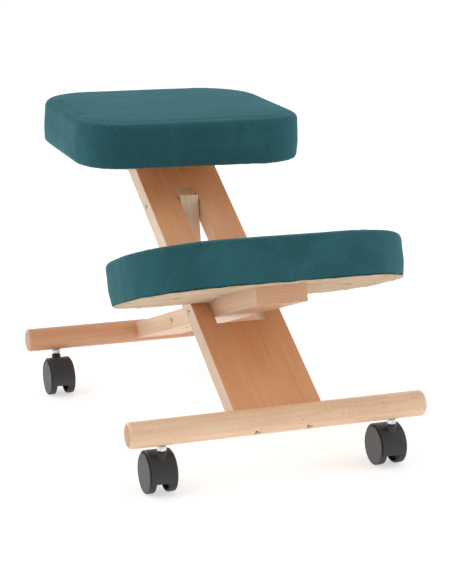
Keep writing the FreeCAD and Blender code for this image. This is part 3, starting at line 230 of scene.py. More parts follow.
def modify(piece: bpy.types.Object, kind: str, **settings: object) -> bpy.types.Modifier:
    """Put a modifier on a piece.

    Args:
        piece: The piece.
        kind: Type of modifier.
        **settings: Attributes of the modifier.

    Returns:
        The modifier.
    """
    modifier = piece.modifiers.new(kind.lower(), kind)
    assign(modifier, **settings)
    return modifier


def apply_modifiers(piece: bpy.types.Object) -> None:
    """Apply every modifier of a piece, first to last.

    Args:
        piece: The piece.
    """
    select_only(piece)
    for modifier in list(piece.modifiers):
        bpy.ops.object.modifier_apply(modifier=modifier.name)


def points_of(piece: bpy.types.Object) -> np.ndarray:
    """Vertex places of a piece.

    Args:
        piece: The piece.

    Returns:
        One row for each vertex.
    """
    flat = np.zeros(len(piece.data.vertices) * 3)
    piece.data.vertices.foreach_get("co", flat)
    return flat.reshape(-1, 3)


def move_points(piece: bpy.types.Object, points: np.ndarray) -> None:
    """Put the vertices of a piece at these places."""
    piece.data.vertices.foreach_set("co", points.ravel())
    piece.data.update()


def mesh_object(name: str, mesh: bpy.types.Mesh) -> bpy.types.Object:
    """New object in the scene that holds a mesh.

    Args:
        name: Name of the object.
        mesh: Its mesh.

    Returns:
        The object.
    """
    piece = bpy.data.objects.new(name, mesh)
    bpy.context.scene.collection.objects.link(piece)
    return piece


# Measures
def lit(value: float) -> float:
    """Share of 1 that smoothly follows a share of 0 to 1."""
    value = min(1.0, max(0.0, value))
    return value * value * (3 - 2 * value)


def ramp(value: float, start: float, width: float) -> float:
    """Share of 1 that rises smoothly from a start, over a width."""
    return lit((value - start) / width)


def ridge(value: float, centre: float, spread: float) -> float:
    """Share of 1 that falls away smoothly on both sides of a centre."""
    return math.exp(-((value - centre) / spread) ** 2)


def polar(points: np.ndarray, centre: np.ndarray) -> tuple[np.ndarray, np.ndarray]:
    """Bearings, in radians, and distances of points from a centre, seen from above."""
    across, deep = points[:, 0] - centre[0], points[:, 1] - centre[1]
    return np.arctan2(deep, across), np.hypot(deep, across)


def reach_of(edge: np.ndarray, centre: np.ndarray, bearings: np.ndarray) -> np.ndarray:
    """Distance of an edge from a centre, seen from above.

    Args:
        edge: Points along the edge, in any order.
        centre: The centre.
        bearings: Where to measure, in radians.

    Returns:
        One distance for each bearing.
    """
    angle, reach = polar(edge, centre)
    order = np.argsort(angle)
    return np.interp(bearings, angle[order], reach[order], period=math.tau)


def eased(ring: np.ndarray) -> np.ndarray:
    """Values of a closed ring, each averaged with its two neighbours."""
    return (ring + np.roll(ring, 1) + np.roll(ring, -1)) / 3


# Finishes
class Shader:
    """Node tree of one material, with short calls that add and join its nodes."""

    def __init__(self, name: str) -> None:
        """Start a material with a principled surface.

        Args:
            name: Name of the material.
        """
        self.material = bpy.data.materials.new(name)
        self.material.use_nodes = True
        self.tree = self.material.node_tree
        self.tree.nodes.clear()
        self.surface = self.add("ShaderNodeBsdfPrincipled")
        self.add("ShaderNodeOutputMaterial", {"Surface": self.surface.outputs["BSDF"]})

    def add(self, kind: str, inputs: Optional[dict] = None, **settings: object) -> bpy.types.Node:
        """New node with its settings and inputs.

        Args:
            kind: Type of node.
            inputs: Source or plain value of each input, by the input's name or number.
            **settings: Attributes of the node.

        Returns:
            The node.
        """
        node = self.tree.nodes.new(kind)
        assign(node, **settings)
        for name, source in (inputs or {}).items():
            self.join(source, node.inputs[name])
        return node

    def join(self, source: object, target: bpy.types.NodeSocket) -> None:
        """Link an output to an input, or set the input to a plain value.

        Args:
            source: An output, or a value.
            target: The input.
        """
        if isinstance(source, bpy.types.NodeSocket):
            self.tree.links.new(source, target)
        else:
            target.default_value = source

    def own_space(self, turn: Sequence[float] = (0, 0, 0), offset: Sequence[float] = (0, 0, 0),
                  scale: Sequence[float] = (1, 1, 1)) -> bpy.types.NodeSocket:
        """Object coordinates, turned, moved and scaled.

        Args:
            turn: Turn about X, Y and Z, in degrees.
            offset: Move after the turn, in metres.
            scale: Stretch of the pattern's space.

        Returns:
            The vector output.
        """
        place = self.add("ShaderNodeTexCoord").outputs["Object"]
        turned = self.add("ShaderNodeMapping", {
            "Vector": place, "Location": offset,
            "Rotation": [math.radians(angle) for angle in turn]}, vector_type="POINT")
        stretched = self.add("ShaderNodeMapping", {
            "Vector": turned.outputs["Vector"], "Scale": scale}, vector_type="POINT")
        return stretched.outputs["Vector"]

    def noise(self, vector: bpy.types.NodeSocket, scale: float, detail: float = 2.0,
              roughness: float = 0.5, distortion: float = 0.0) -> bpy.types.NodeSocket:
        """Fractal noise over a vector."""
        return self.add("ShaderNodeTexNoise", {
            "Vector": vector, "Scale": scale, "Detail": detail, "Roughness": roughness,
            "Distortion": distortion}).outputs["Fac"]

    def rings(self, vector: bpy.types.NodeSocket, spacing: float, distortion: float,
              detail: float, detail_scale: float, detail_roughness: float = 0.5,
              profile: str = "SIN") -> bpy.types.NodeSocket:
        """Growth rings about the Y axis, with a spacing in metres."""
        return self.add("ShaderNodeTexWave", {
            "Vector": vector, "Scale": math.tau / (RING_PHASE * spacing),
            "Distortion": distortion, "Detail": detail, "Detail Scale": detail_scale,
            "Detail Roughness": detail_roughness},
            wave_type="RINGS", rings_direction="Y", wave_profile=profile).outputs["Fac"]

    def calculate(self, operation: str, first: object, second: object = 0.0,
                  clamp: bool = False) -> bpy.types.NodeSocket:
        """One step of arithmetic on sockets or plain numbers."""
        return self.add("ShaderNodeMath", {0: first, 1: second}, operation=operation,
                        use_clamp=clamp).outputs[0]

    def stretch(self, value: bpy.types.NodeSocket, low: float, high: float,
                to_low: float = 0.0, to_high: float = 1.0) -> bpy.types.NodeSocket:
        """Smooth change from to_low at low to to_high at high."""
        return self.add("ShaderNodeMapRange", {
            "Value": value, "From Min": low, "From Max": high, "To Min": to_low,
            "To Max": to_high}, interpolation_type="SMOOTHSTEP").outputs["Result"]

    def blend(self, share: object, first: object, second: object,
              kind: str = "MIX") -> bpy.types.NodeSocket:
        """Mix of two colours."""
        return self.add("ShaderNodeMix", {"Factor": share, 6: first, 7: second},
                        data_type="RGBA", blend_type=kind).outputs[2]

    def bump(self, height: bpy.types.NodeSocket, distance: float, strength: float = 1.0,
             below: Optional[bpy.types.NodeSocket] = None) -> bpy.types.NodeSocket:
        """Relief of a height.

        Args:
            height: Height, 0 to 1.
            distance: How high 1 stands, in metres.
            strength: Share of the relief that shows.
            below: Another relief that this one lies on.

        Returns:
            The normal output.
        """
        inputs = {"Height": height, "Distance": distance, "Strength": strength}
        if below is not None:
            inputs["Normal"] = below
        return self.add("ShaderNodeBump", inputs).outputs["Normal"]

    def finish(self, **sockets: object) -> bpy.types.Material:
        """Set or link the surface's sockets and give the material.

        Args:
            **sockets: Socket names, with underscores for spaces.

        Returns:
            The material.
        """
        for name, value in sockets.items():
            self.join(value, self.surface.inputs[name.replace("_", " ")])
        return self.material


@dataclass(frozen=True)
class BeechFinish:
    """Clear lacquered beech, cut so that its grain runs along the piece."""

    name: str
    grain: Grain
    pale: Colour
    warm: Colour
    pith: tuple[float, float] = (0.06, -0.09)
    ring: float = 4.2 * MM
    ring_share: float = 0.22
    ring_waver: float = 5.5
    streak_scale: float = 160.0
    streak_share: float = 0.4
    drift_scale: float = 14.0
    drift_share: float = 0.42
    ray: Colour = srgb(176, 128, 92)
    ray_scale: float = 520.0
    fleck_share: float = 0.35
    relief: float = 0.12 * MM
    roughness: float = 0.42
    lacquer: float = 0.12

    def make(self) -> bpy.types.Material:
        """Build the material.

        Returns:
            Beech with growth rings, streaks, ray flecks and a little relief.
        """
        shader = Shader(self.name)

        def drawn_out(share: float) -> bpy.types.NodeSocket:
            """Space that draws a pattern out along the grain."""
            return shader.own_space(self.grain.value, scale=(1, share, 1))

        across, up = self.pith
        space = shader.own_space(self.grain.value, (across, 0, up))
        rings = shader.rings(space, self.ring, distortion=self.ring_waver, detail=3.0,
                             detail_scale=0.16, detail_roughness=0.55)
        streaks = shader.noise(drawn_out(0.045), self.streak_scale, detail=4, roughness=0.6)
        streak = shader.stretch(streaks, 0.3, 0.72, to_high=self.streak_share)
        drift = shader.noise(drawn_out(0.3), self.drift_scale)
        drift = shader.stretch(drift, 0.3, 0.7, to_high=self.drift_share)
        tone = shader.calculate("MULTIPLY", rings, self.ring_share)
        tone = shader.calculate("ADD", tone, streak)
        tone = shader.calculate("ADD", tone, drift, clamp=True)
        wood = shader.blend(tone, self.pale, self.warm)
        rays = shader.add("ShaderNodeTexVoronoi", {
            "Vector": drawn_out(0.16), "Scale": self.ray_scale, "Randomness": 1.0}, feature="F1")
        fleck = shader.stretch(rays.outputs["Distance"], 0.10, 0.24, to_low=1.0, to_high=0.0)
        patch = shader.stretch(shader.noise(space, scale=60, detail=1), 0.42, 0.62, to_low=0.15)
        fleck = shader.calculate("MULTIPLY", fleck, patch)
        fleck = shader.calculate("MULTIPLY", fleck, self.fleck_share)
        dark = shader.blend(1.0, wood, self.ray, "MULTIPLY")
        gloss = shader.stretch(streaks, 0.3, 0.7, self.roughness - 0.05, self.roughness + 0.07)
        relief = shader.bump(shader.calculate("SUBTRACT", streaks, fleck), self.relief, 0.5)
        return shader.finish(Base_Color=shader.blend(fleck, wood, dark), Roughness=gloss,
                             Normal=relief, Coat_Weight=self.lacquer, Coat_Roughness=0.25)


@dataclass(frozen=True)
class EndGrainFinish:
    """Sawn end of a beech plank, with the arcs of its growth rings."""

    name: str
    grain: Grain
    pale: Colour
    warm: Colour
    pith: tuple[float, float] = (0.012, 0.035)
    ring: float = 4.6 * MM
    ring_share: float = 0.55
    ring_waver: float = 2.0
    pore_scale: float = 1500.0
    pore_share: float = 0.35
    relief: float = 0.1 * MM
    roughness: float = 0.5

    def make(self) -> bpy.types.Material:
        """Build the material.

        Returns:
            End grain with arcs and fine pores.
        """
        shader = Shader(self.name)
        across, up = self.pith
        space = shader.own_space(self.grain.value, (across, 0, up))
        rings = shader.rings(space, self.ring, distortion=self.ring_waver, detail=1.0,
                             detail_scale=0.5, profile="SAW")
        pores = shader.noise(space, self.pore_scale, roughness=0.6)
        pore = shader.stretch(pores, 0.35, 0.7, to_high=self.pore_share)
        tone = shader.calculate("MULTIPLY", rings, self.ring_share)
        tone = shader.calculate("ADD", tone, pore, clamp=True)
        return shader.finish(Base_Color=shader.blend(tone, self.pale, self.warm),
                             Roughness=self.roughness, Normal=shader.bump(pores, self.relief, 0.4))


@dataclass(frozen=True)
class TealClothFinish:
    """Teal basket weave, with its threads laid out by the piece's own weave attribute."""

    name: str = "teal_cloth"
    thread: Colour = srgb(51, 117, 124)
    # Near-black colour between the threads: painted shade in the weave's hollows
    valley_shade: Colour = srgb(2, 25, 30)
    # Lighter teal laid in random patches by the nap noise: painted sheen of the nap
    nap_sheen: Colour = srgb(55, 117, 125)
    sheen: Colour = srgb(112, 192, 202)
    weft_repeat: float = 3.6 * MM
    warp_repeat: float = 3.2 * MM
    waver: float = 0.9
    slub_scale: float = 520.0
    slub_share: float = 0.15
    slub_relief: float = 0.4 * MM
    thread_relief: float = 0.45 * MM
    nap_scale: float = 11.0
    nap_share: float = 0.28
    roughness: float = 0.86
    sheen_weight: float = 0.32
    layout: str = "weave"

    def make(self) -> bpy.types.Material:
        """Build the material.

        Returns:
            Woven cloth with raised threads and slubs, painted shade in the dark valleys between the
            threads, lighter patches of painted nap sheen, and a sheen lobe.
        """
        shader = Shader(self.name)
        layout = shader.add("ShaderNodeAttribute", attribute_name=self.layout).outputs["Vector"]
        parts = shader.add("ShaderNodeSeparateXYZ", {"Vector": layout})
        waver = shader.calculate("SUBTRACT", shader.noise(layout, scale=60), 0.5)
        waver = shader.calculate("MULTIPLY", waver, self.waver)
        waves = []
        for axis, repeat in (("X", self.weft_repeat), ("Y", self.warp_repeat)):
            turned = shader.calculate("MULTIPLY", parts.outputs[axis], math.tau / repeat)
            waves.append(shader.calculate("SINE", shader.calculate("ADD", turned, waver)))
        basket = shader.stretch(shader.calculate("MULTIPLY", *waves), -0.45, 0.45)
        slubs = shader.noise(layout, self.slub_scale, detail=3, roughness=0.65)
        slub = shader.stretch(slubs, 0.3, 0.7, -self.slub_share, self.slub_share)
        yarn = shader.calculate("ADD", basket, slub, clamp=True)
        nap = shader.noise(shader.own_space(scale=(1, 2.6, 1)), self.nap_scale, detail=3,
                           roughness=0.55, distortion=0.6)
        # Random patches of the lighter teal over the weave: painted nap sheen
        colour = shader.blend(shader.stretch(nap, 0.42, 0.72, to_high=self.nap_share),
                              shader.blend(yarn, self.valley_shade, self.thread), self.nap_sheen)
        relief = shader.bump(shader.calculate("MULTIPLY", slubs, 0.35), self.slub_relief, 0.35)
        relief = shader.bump(basket, self.thread_relief, 0.55, relief)
        return shader.finish(Base_Color=colour, Roughness=self.roughness, Normal=relief,
                             Sheen_Weight=self.sheen_weight, Sheen_Roughness=0.45,
                             Sheen_Tint=self.sheen, Specular_IOR_Level=0.25)


@dataclass(frozen=True)
class LiningFinish:
    """Unbleached lining cloth stapled under the boards."""

    name: str = "lining_cloth"
    pale: Colour = srgb(209, 185, 155)
    warm: Colour = srgb(192, 164, 131)
    felt_scale: float = 900.0
    felt_share: float = 0.35
    cloud_scale: float = 26.0
    cloud_share: float = 0.65
    relief: float = 0.3 * MM
    roughness: float = 0.9

    def make(self) -> bpy.types.Material:
        """Build the material.

        Returns:
            Matt cream cloth with a fine felted surface.
        """
        shader = Shader(self.name)
        space = shader.own_space()
        felt = shader.noise(space, self.felt_scale, detail=3, roughness=0.7)
        cloud = shader.noise(space, self.cloud_scale, detail=3)
        tone = shader.calculate("ADD", shader.stretch(felt, 0.3, 0.7, to_high=self.felt_share),
                                shader.stretch(cloud, 0.35, 0.68, to_high=self.cloud_share),
                                clamp=True)
        return shader.finish(Base_Color=shader.blend(tone, self.pale, self.warm),
                             Roughness=self.roughness, Sheen_Weight=0.1,
                             Normal=shader.bump(felt, self.relief, 0.5))


@dataclass(frozen=True)
class NylonFinish:
    """Moulded nylon with a fine spark-eroded skin."""

    name: str
    base: Colour
    roughness: float
    dust: Colour = srgb(96, 96, 98)
    dust_share: float = 0.5
    grain_scale: float = 2600.0
    scuff_scale: float = 120.0
    scuff_share: float = 0.4
    relief: float = 0.06 * MM

    def make(self) -> bpy.types.Material:
        """Build the material.

        Returns:
            Satin plastic with fine grain and faint scuffs.
        """
        shader = Shader(self.name)
        grain = shader.noise(shader.own_space(), self.grain_scale)
        scuff = shader.noise(shader.own_space((20, 35, 0), scale=(1, 1, 6)), self.scuff_scale,
                             detail=4, roughness=0.6)
        dusty = shader.blend(self.dust_share, self.base, self.dust)
        colour = shader.blend(shader.stretch(scuff, 0.55, 0.8, to_high=self.scuff_share),
                              self.base, dusty)
        gloss = shader.stretch(scuff, 0.3, 0.75, self.roughness - 0.04, self.roughness + 0.12)
        return shader.finish(Base_Color=colour, Roughness=gloss, Specular_IOR_Level=0.5,
                             Normal=shader.bump(grain, self.relief, 0.4))


@dataclass(frozen=True)
class PlatedFinish:
    """Plated steel, bright zinc or yellow passivated."""

    name: str
    base: Colour
    dull: Colour
    roughness: float = 0.3
    cloud_scale: float = 210.0
    mark_scale: float = 700.0
    relief: float = 0.04 * MM

    def make(self) -> bpy.types.Material:
        """Build the material.

        Returns:
            Metal with cloudy plating and fine turning marks.
        """
        shader = Shader(self.name)
        cloud = shader.noise(shader.own_space(), self.cloud_scale, detail=3, roughness=0.6)
        marks = shader.noise(shader.own_space(scale=(1, 1, 14)), self.mark_scale)
        colour = shader.blend(shader.stretch(cloud, 0.35, 0.7), self.base, self.dull)
        gloss = shader.stretch(cloud, 0.3, 0.7, self.roughness - 0.06, self.roughness + 0.14)
        return shader.finish(Base_Color=colour, Metallic=1.0, Roughness=gloss,
                             Normal=shader.bump(marks, self.relief, 0.4))


@dataclass(frozen=True)
class PlyFinish:
    """Birch plywood board."""

    name: str = "birch_ply"
    pale: Colour = srgb(222, 198, 160)
    warm: Colour = srgb(192, 158, 116)
    grain_scale: float = 180.0
    relief: float = 0.1 * MM
    roughness: float = 0.6

    def make(self) -> bpy.types.Material:
        """Build the material.

        Returns:
            Plywood with a long soft grain.
        """
        shader = Shader(self.name)
        grain = shader.noise(shader.own_space(scale=(1, 0.08, 1)), self.grain_scale, detail=4,
                             roughness=0.6)
        colour = shader.blend(shader.stretch(grain, 0.3, 0.7), self.pale, self.warm)
        return shader.finish(Base_Color=colour, Roughness=self.roughness,
                             Normal=shader.bump(grain, self.relief, 0.4))


class Finishes:
    """All the chair's materials, made once."""

    def __init__(self) -> None:
        """Make each material."""
        edge = (srgb(230, 204, 179), srgb(212, 173, 139))
        pith = (0.09, 0.02)
        self.front_rail = BeechFinish("beech_front_rail", Grain.RAIL, srgb(244, 212, 181),
                                      srgb(227, 184, 145), pith, fleck_share=0.6).make()
        # Rear rail beech is a darker copy of the front rail's: painted shade on the rail that lies
        # back under the seat
        self.rear_rail = BeechFinish("beech_rear_rail_shaded", Grain.RAIL, srgb(211, 161, 125),
                                     srgb(197, 141, 102), pith).make()
        # Seat beam faces are darker and more orange than its edges: partly the paler grain of the
        # edges, partly painted shade on the faces under the seat
        self.shaded_seat_face = BeechFinish("beech_seat_beam", Grain.SEAT_BEAM, srgb(231, 176, 133),
                                     srgb(215, 153, 109), ring_share=0.10).make()
        self.seat_edge = BeechFinish("beech_seat_beam_edge", Grain.SEAT_BEAM,
                                     srgb(232, 209, 187), srgb(216, 184, 155)).make()
        self.knee_face = BeechFinish("beech_knee_beam", Grain.KNEE_BEAM, srgb(229, 199, 168),
                                     srgb(210, 171, 135)).make()
        self.knee_edge = BeechFinish("beech_knee_beam_edge", Grain.KNEE_BEAM, *edge).make()
        self.knee_end = EndGrainFinish("beech_knee_beam_end", Grain.KNEE_BEAM,
                                       srgb(229, 189, 157), srgb(212, 159, 123)).make()
        self.seat_end = EndGrainFinish("beech_seat_beam_end", Grain.SEAT_BEAM,
                                       srgb(222, 186, 150), srgb(196, 150, 112)).make()
        # Prop beech is paler than the other planks: painted light on the prop, which stands in shade
        # inside the seat beam's cut
        self.prop = BeechFinish("beech_prop_painted_light", Grain.PROP, srgb(247, 224, 200),
                                srgb(234, 198, 168)).make()
        self.bearer = BeechFinish("beech_bearer", Grain.RAIL, *edge).make()
        self.rail_end = EndGrainFinish("beech_rail_end", Grain.RAIL, srgb(204, 166, 136),
                                       srgb(184, 141, 108)).make()
        self.ply = PlyFinish().make()
        self.cloth = TealClothFinish().make()
        self.lining = LiningFinish().make()
        self.housing = NylonFinish("castor_housing", srgb(45, 45, 48), 0.42).make()
        self.tread = NylonFinish("castor_tread", srgb(37, 38, 40), 0.5).make()
        self.cap = NylonFinish("castor_cap", srgb(78, 80, 82), 0.55).make()
        self.zinc = PlatedFinish("bright_zinc", srgb(238, 240, 242), srgb(196, 198, 202)).make()
        self.staple = PlatedFinish("dull_staple", srgb(206, 192, 170), srgb(180, 166, 145),
                                   0.5).make()
        self.bronze = PlatedFinish("yellow_zinc", srgb(242, 222, 194), srgb(212, 186, 152),
                                   0.42).make()


def dress(piece: bpy.types.Object, *finishes: bpy.types.Material) -> None:
    """Give a piece its materials.

    Args:
        piece: The piece.
        *finishes: Materials, in slot order.
    """
    piece.data.materials.clear()
    for finish in finishes:
        piece.data.materials.append(finish)


# Wood and hardware
@dataclass
class EasedCopy:
    """A CAD node's shape as a clean mesh with eased edges, standing for the node."""

    node: str
    body: str
    slot: str
    ease: float
    segments: int = 2
    sharp: float = 30.0
    least_edge: float = 0.0
    flat: float = 0.5

    def build(self, frame: dict, *finishes: bpy.types.Material) -> bpy.types.Object:
        """Copy the node's mesh, merge and ease it, and put it on its body.

        Args:
            frame: What the frame's load gave.
            *finishes: Materials, in slot order.

        Returns:
            The new piece.
        """
        piece = mesh_object(self.node + "_finished", frame["nodes"][self.node].data.copy())
        with editing(piece, "EDGE"):
            merge_doubles()
            bpy.ops.mesh.dissolve_limited(angle_limit=math.radians(self.flat))
            bpy.ops.mesh.select_all(action="DESELECT")
            shape = bmesh.from_edit_mesh(piece.data)
            limit = math.radians(self.sharp)
            count = choose(piece, shape.edges, lambda edge: edge.is_manifold
                           and edge.calc_face_angle(0.0) > limit
                           and edge.calc_length() > self.least_edge)
            if count:
                bpy.ops.mesh.bevel(offset=self.ease, segments=self.segments, profile=0.5,
                                   affect="EDGES", clamp_overlap=True)
        bpy.ops.object.shade_smooth_by_angle(angle=math.radians(SHADE_ANGLE))
        dress(piece, *finishes)
        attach(piece, self.body)
        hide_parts(self.node)
        LOG.info("%s: %d faces", piece.name, len(piece.data.polygons))
        return piece


@dataclass
class BeechWork:
    """Planks, rails, prop and bearer."""

    frame: dict
    finishes: Finishes
    ease: float = 1.2 * MM
    least_edge: float = 2.5 * MM
    outer_skin: float = 3 * MM
    rail_ease: float = 0.5 * MM
    rail_sharp: float = 40.0
    chamfer: float = 1.5 * MM
    end_radius: float = 4.5 * MM
    end_steps: int = 6
    end_facing: float = 0.93

    def plank(self, node: str, body: str, slope: float, materials: Sequence) -> None:
        """Ease a plank and give its faces, edges and ends their own cut of beech.

        Args:
            node: The plank's node.
            body: Body that it rides on.
            slope: Its slope, in degrees about X.
            materials: Finish of the broad faces, of the narrow edges, of the ends and of the walls
                of what is cut through it. On the seat beam the darker face finish is partly the
                paler grain of the edges and partly painted shade on the faces, and the darker finish
                on the walls of the cut is painted shade inside the cut.
        """
        piece = EasedCopy(node, body, "beech_plank", self.ease, 3,
                          least_edge=self.least_edge).build(self.frame, *materials)
        along = Vector((0, math.cos(math.radians(slope)), math.sin(math.radians(slope))))
        outer = max(abs(vertex.co.x) for vertex in piece.data.vertices) - self.outer_skin
        for face in piece.data.polygons:
            if abs(face.normal.x) > FACING:
                # Walls inside a cut take the fourth finish, which on the seat beam is darker than
                # its edges: painted shade inside the cut
                face.material_index = 1 if abs(face.center.x) > outer else 3
            elif abs(face.normal.dot(along)) > FACING:
                face.material_index = 2
            else:
                face.material_index = 0

    def rail(self, node: str, body: str, finish: bpy.types.Material) -> None:
        """Round the ends of a rail and mark them as end grain.

        Args:
            node: The rail's node.
            body: Body that it rides on.
            finish: Finish of its barrel.
        """
        piece = EasedCopy(node, body, "beech_rail", self.rail_ease,
                          sharp=self.rail_sharp).build(self.frame, finish, self.finishes.rail_end)
        self.round_ends(piece)
        for face in piece.data.polygons:
            face.material_index = 1 if abs(face.normal.x) > self.end_facing else 0

    def round_ends(self, piece: bpy.types.Object) -> None:
        """Turn each end of a rail to a round edge.

        The chamfer and the flat end come off, the last ring of the barrel moves in,
        and rings of the new edge follow it out to a smaller flat end.

        Args:
            piece: The rail.
        """
        points = points_of(piece)
        tip = points[:, 0].max()
        axis = (points[:, 1:].min(0) + points[:, 1:].max(0)) / 2
        radius = float(np.ptp(points[:, 2])) / 2
        for side in (-1, 1):
            with editing(piece) as shape:
                choose(piece, shape.faces, lambda face: side * face.calc_center_median().x
                       > tip - self.chamfer - 0.1 * MM)
                bpy.ops.mesh.delete(type="FACE")
                bpy.ops.mesh.select_mode(type="EDGE")
                shape = bmesh.from_edit_mesh(piece.data)
                choose(piece, shape.edges, lambda edge: edge.is_boundary
                       and all(side * end.co.x > tip - 2 * self.chamfer for end in edge.verts))
                inward = self.chamfer - self.end_radius
                bpy.ops.transform.translate(value=(side * inward, 0, 0))
                reached = tip - self.end_radius
                wide = radius
                for step in range(1, self.end_steps + 1):
                    turn = math.pi / 2 * step / self.end_steps
                    along = tip - self.end_radius * (1 - math.sin(turn))
                    across = radius - self.end_radius * (1 - math.cos(turn))
                    bpy.ops.mesh.extrude_region_move(
                        TRANSFORM_OT_translate={"value": (side * (along - reached), 0, 0)})
                    share = across / wide
                    bpy.ops.transform.resize(value=(1, share, share),
                                             center_override=(side * along, *axis))
                    reached, wide = along, across
                bpy.ops.mesh.edge_face_add()
                bpy.ops.mesh.select_all(action="SELECT")
                bpy.ops.mesh.normals_make_consistent(inside=False)

    def build(self) -> None:
        """Make every wooden piece."""
        look = self.finishes
        # The seat beam's cut walls take the knee face finish, darker than its edges: painted shade
        # inside the cut
        self.plank("seat_beam", "seat_frame", SEAT_BEAM_SLOPE,
                   (look.shaded_seat_face, look.seat_edge, look.seat_end, look.knee_face))
        self.plank("knee_beam", "knee_frame", KNEE_BEAM_SLOPE,
                   (look.knee_face, look.knee_edge, look.knee_end, look.knee_face))
        self.plank("prop_strut", "prop", PROP_SLOPE, (look.prop,) * 4)
        self.rail("front_rail", "seat_frame", look.front_rail)
        self.rail("rear_rail", "knee_frame", look.rear_rail)
        EasedCopy("seat_bearer", "seat_frame", "beech_plank", self.ease, 3).build(
            self.frame, look.bearer)


@dataclass
class CastorWork:
    """Four twin wheel castors."""

    frame: dict
    finishes: Finishes
    hood_ease: float = 0.9 * MM
    hood_sharp: float = 28.0
    stem_ease: float = 0.4 * MM
    wheel_ease: float = 0.5 * MM
    cap_ease: float = 0.3 * MM
    cap_sharp: float = 20.0
    rim: float = 1.4 * MM
    rim_inset: float = 2.4 * MM

    def draw_rim_in(self, hood: bpy.types.Object, axle: bpy.types.Object) -> None:
        """Set a hood's two open rims in, so that the wheels' black treads show beside them.

        Args:
            hood: The hood.
            axle: The axle that runs through it.
        """
        pin = points_of(axle)
        middle = (pin.min(0) + pin.max(0)) / 2
        line = np.linalg.svd(pin - middle, full_matrices=False)[2][0]
        points = points_of(hood)
        place = (points - middle) @ line
        at_rim = np.abs(place) > np.abs(place).max() - self.rim
        points -= np.outer(at_rim * np.sign(place) * self.rim_inset, line)
        move_points(hood, points)

    def build(self) -> None:
        """Finish every piece of each castor."""
        frame, look = self.frame, self.finishes
        for castor in Castor:
            name = castor.value
            axle = frame["nodes"][name + "_axle"]
            dress(axle, look.zinc)
            hood = EasedCopy(name + "_hood", name + "_swivel", "castor_plastic", self.hood_ease, 3,
                             self.hood_sharp).build(frame, look.housing)
            self.draw_rim_in(hood, axle)
            EasedCopy(name + "_stem", castor.rail_body, "steel_fastener",
                      self.stem_ease).build(frame, look.zinc)
            for side in ("left", "right"):
                wheel = f"{name}_wheel_{side}"
                EasedCopy(wheel, wheel, "castor_plastic", self.wheel_ease).build(frame, look.tread)
                EasedCopy(f"{name}_cap_{side}", wheel, "castor_cap", self.cap_ease,
                          sharp=self.cap_sharp).build(frame, look.cap)


@dataclass
class Fasteners:
    """Bolts, nuts, screws, inserts and boards, which keep their CAD shapes."""

    frame: dict
    finishes: Finishes

    def build(self) -> None:
        """Give each one its finish."""
        bronze = ("front_rail_bolts", "rear_rail_bolts", "main_pivot_bolt", "main_pivot_nut",
                  "prop_upper_bolt", "prop_upper_nut", "prop_lower_bolt", "prop_lower_nut",
                  "front_barrel_nuts", "rear_barrel_nuts")
        bright = ("knee_board_bolts", "seat_board_bolts", "knee_tee_nuts", "seat_tee_nuts",
                  "seat_board_screws", "seat_bearer_screws", "front_castor_inserts",
                  "rear_castor_inserts")
        boards = ("seat_board", "knee_board")
        look = self.finishes
        for nodes, finish in ((bronze, look.bronze), (bright, look.zinc), (boards, look.ply)):
            for node in nodes:
                dress(self.frame["nodes"][node], finish)


# Pads
@dataclass
class Footprint:
    """Where a beam lies under a board, in the pad's own frame, level with its underside."""

    half_width: float
    front: float
    rear: float
    level: float

    def press(self, x: float, y: float, margin: float = 4 * MM) -> float:
        """Share, 0 to 1, by which the beam presses the lining flat at a point."""
        outside = max(abs(x) - self.half_width, self.front - y, y - self.rear)
        return lit(1 - outside / margin)


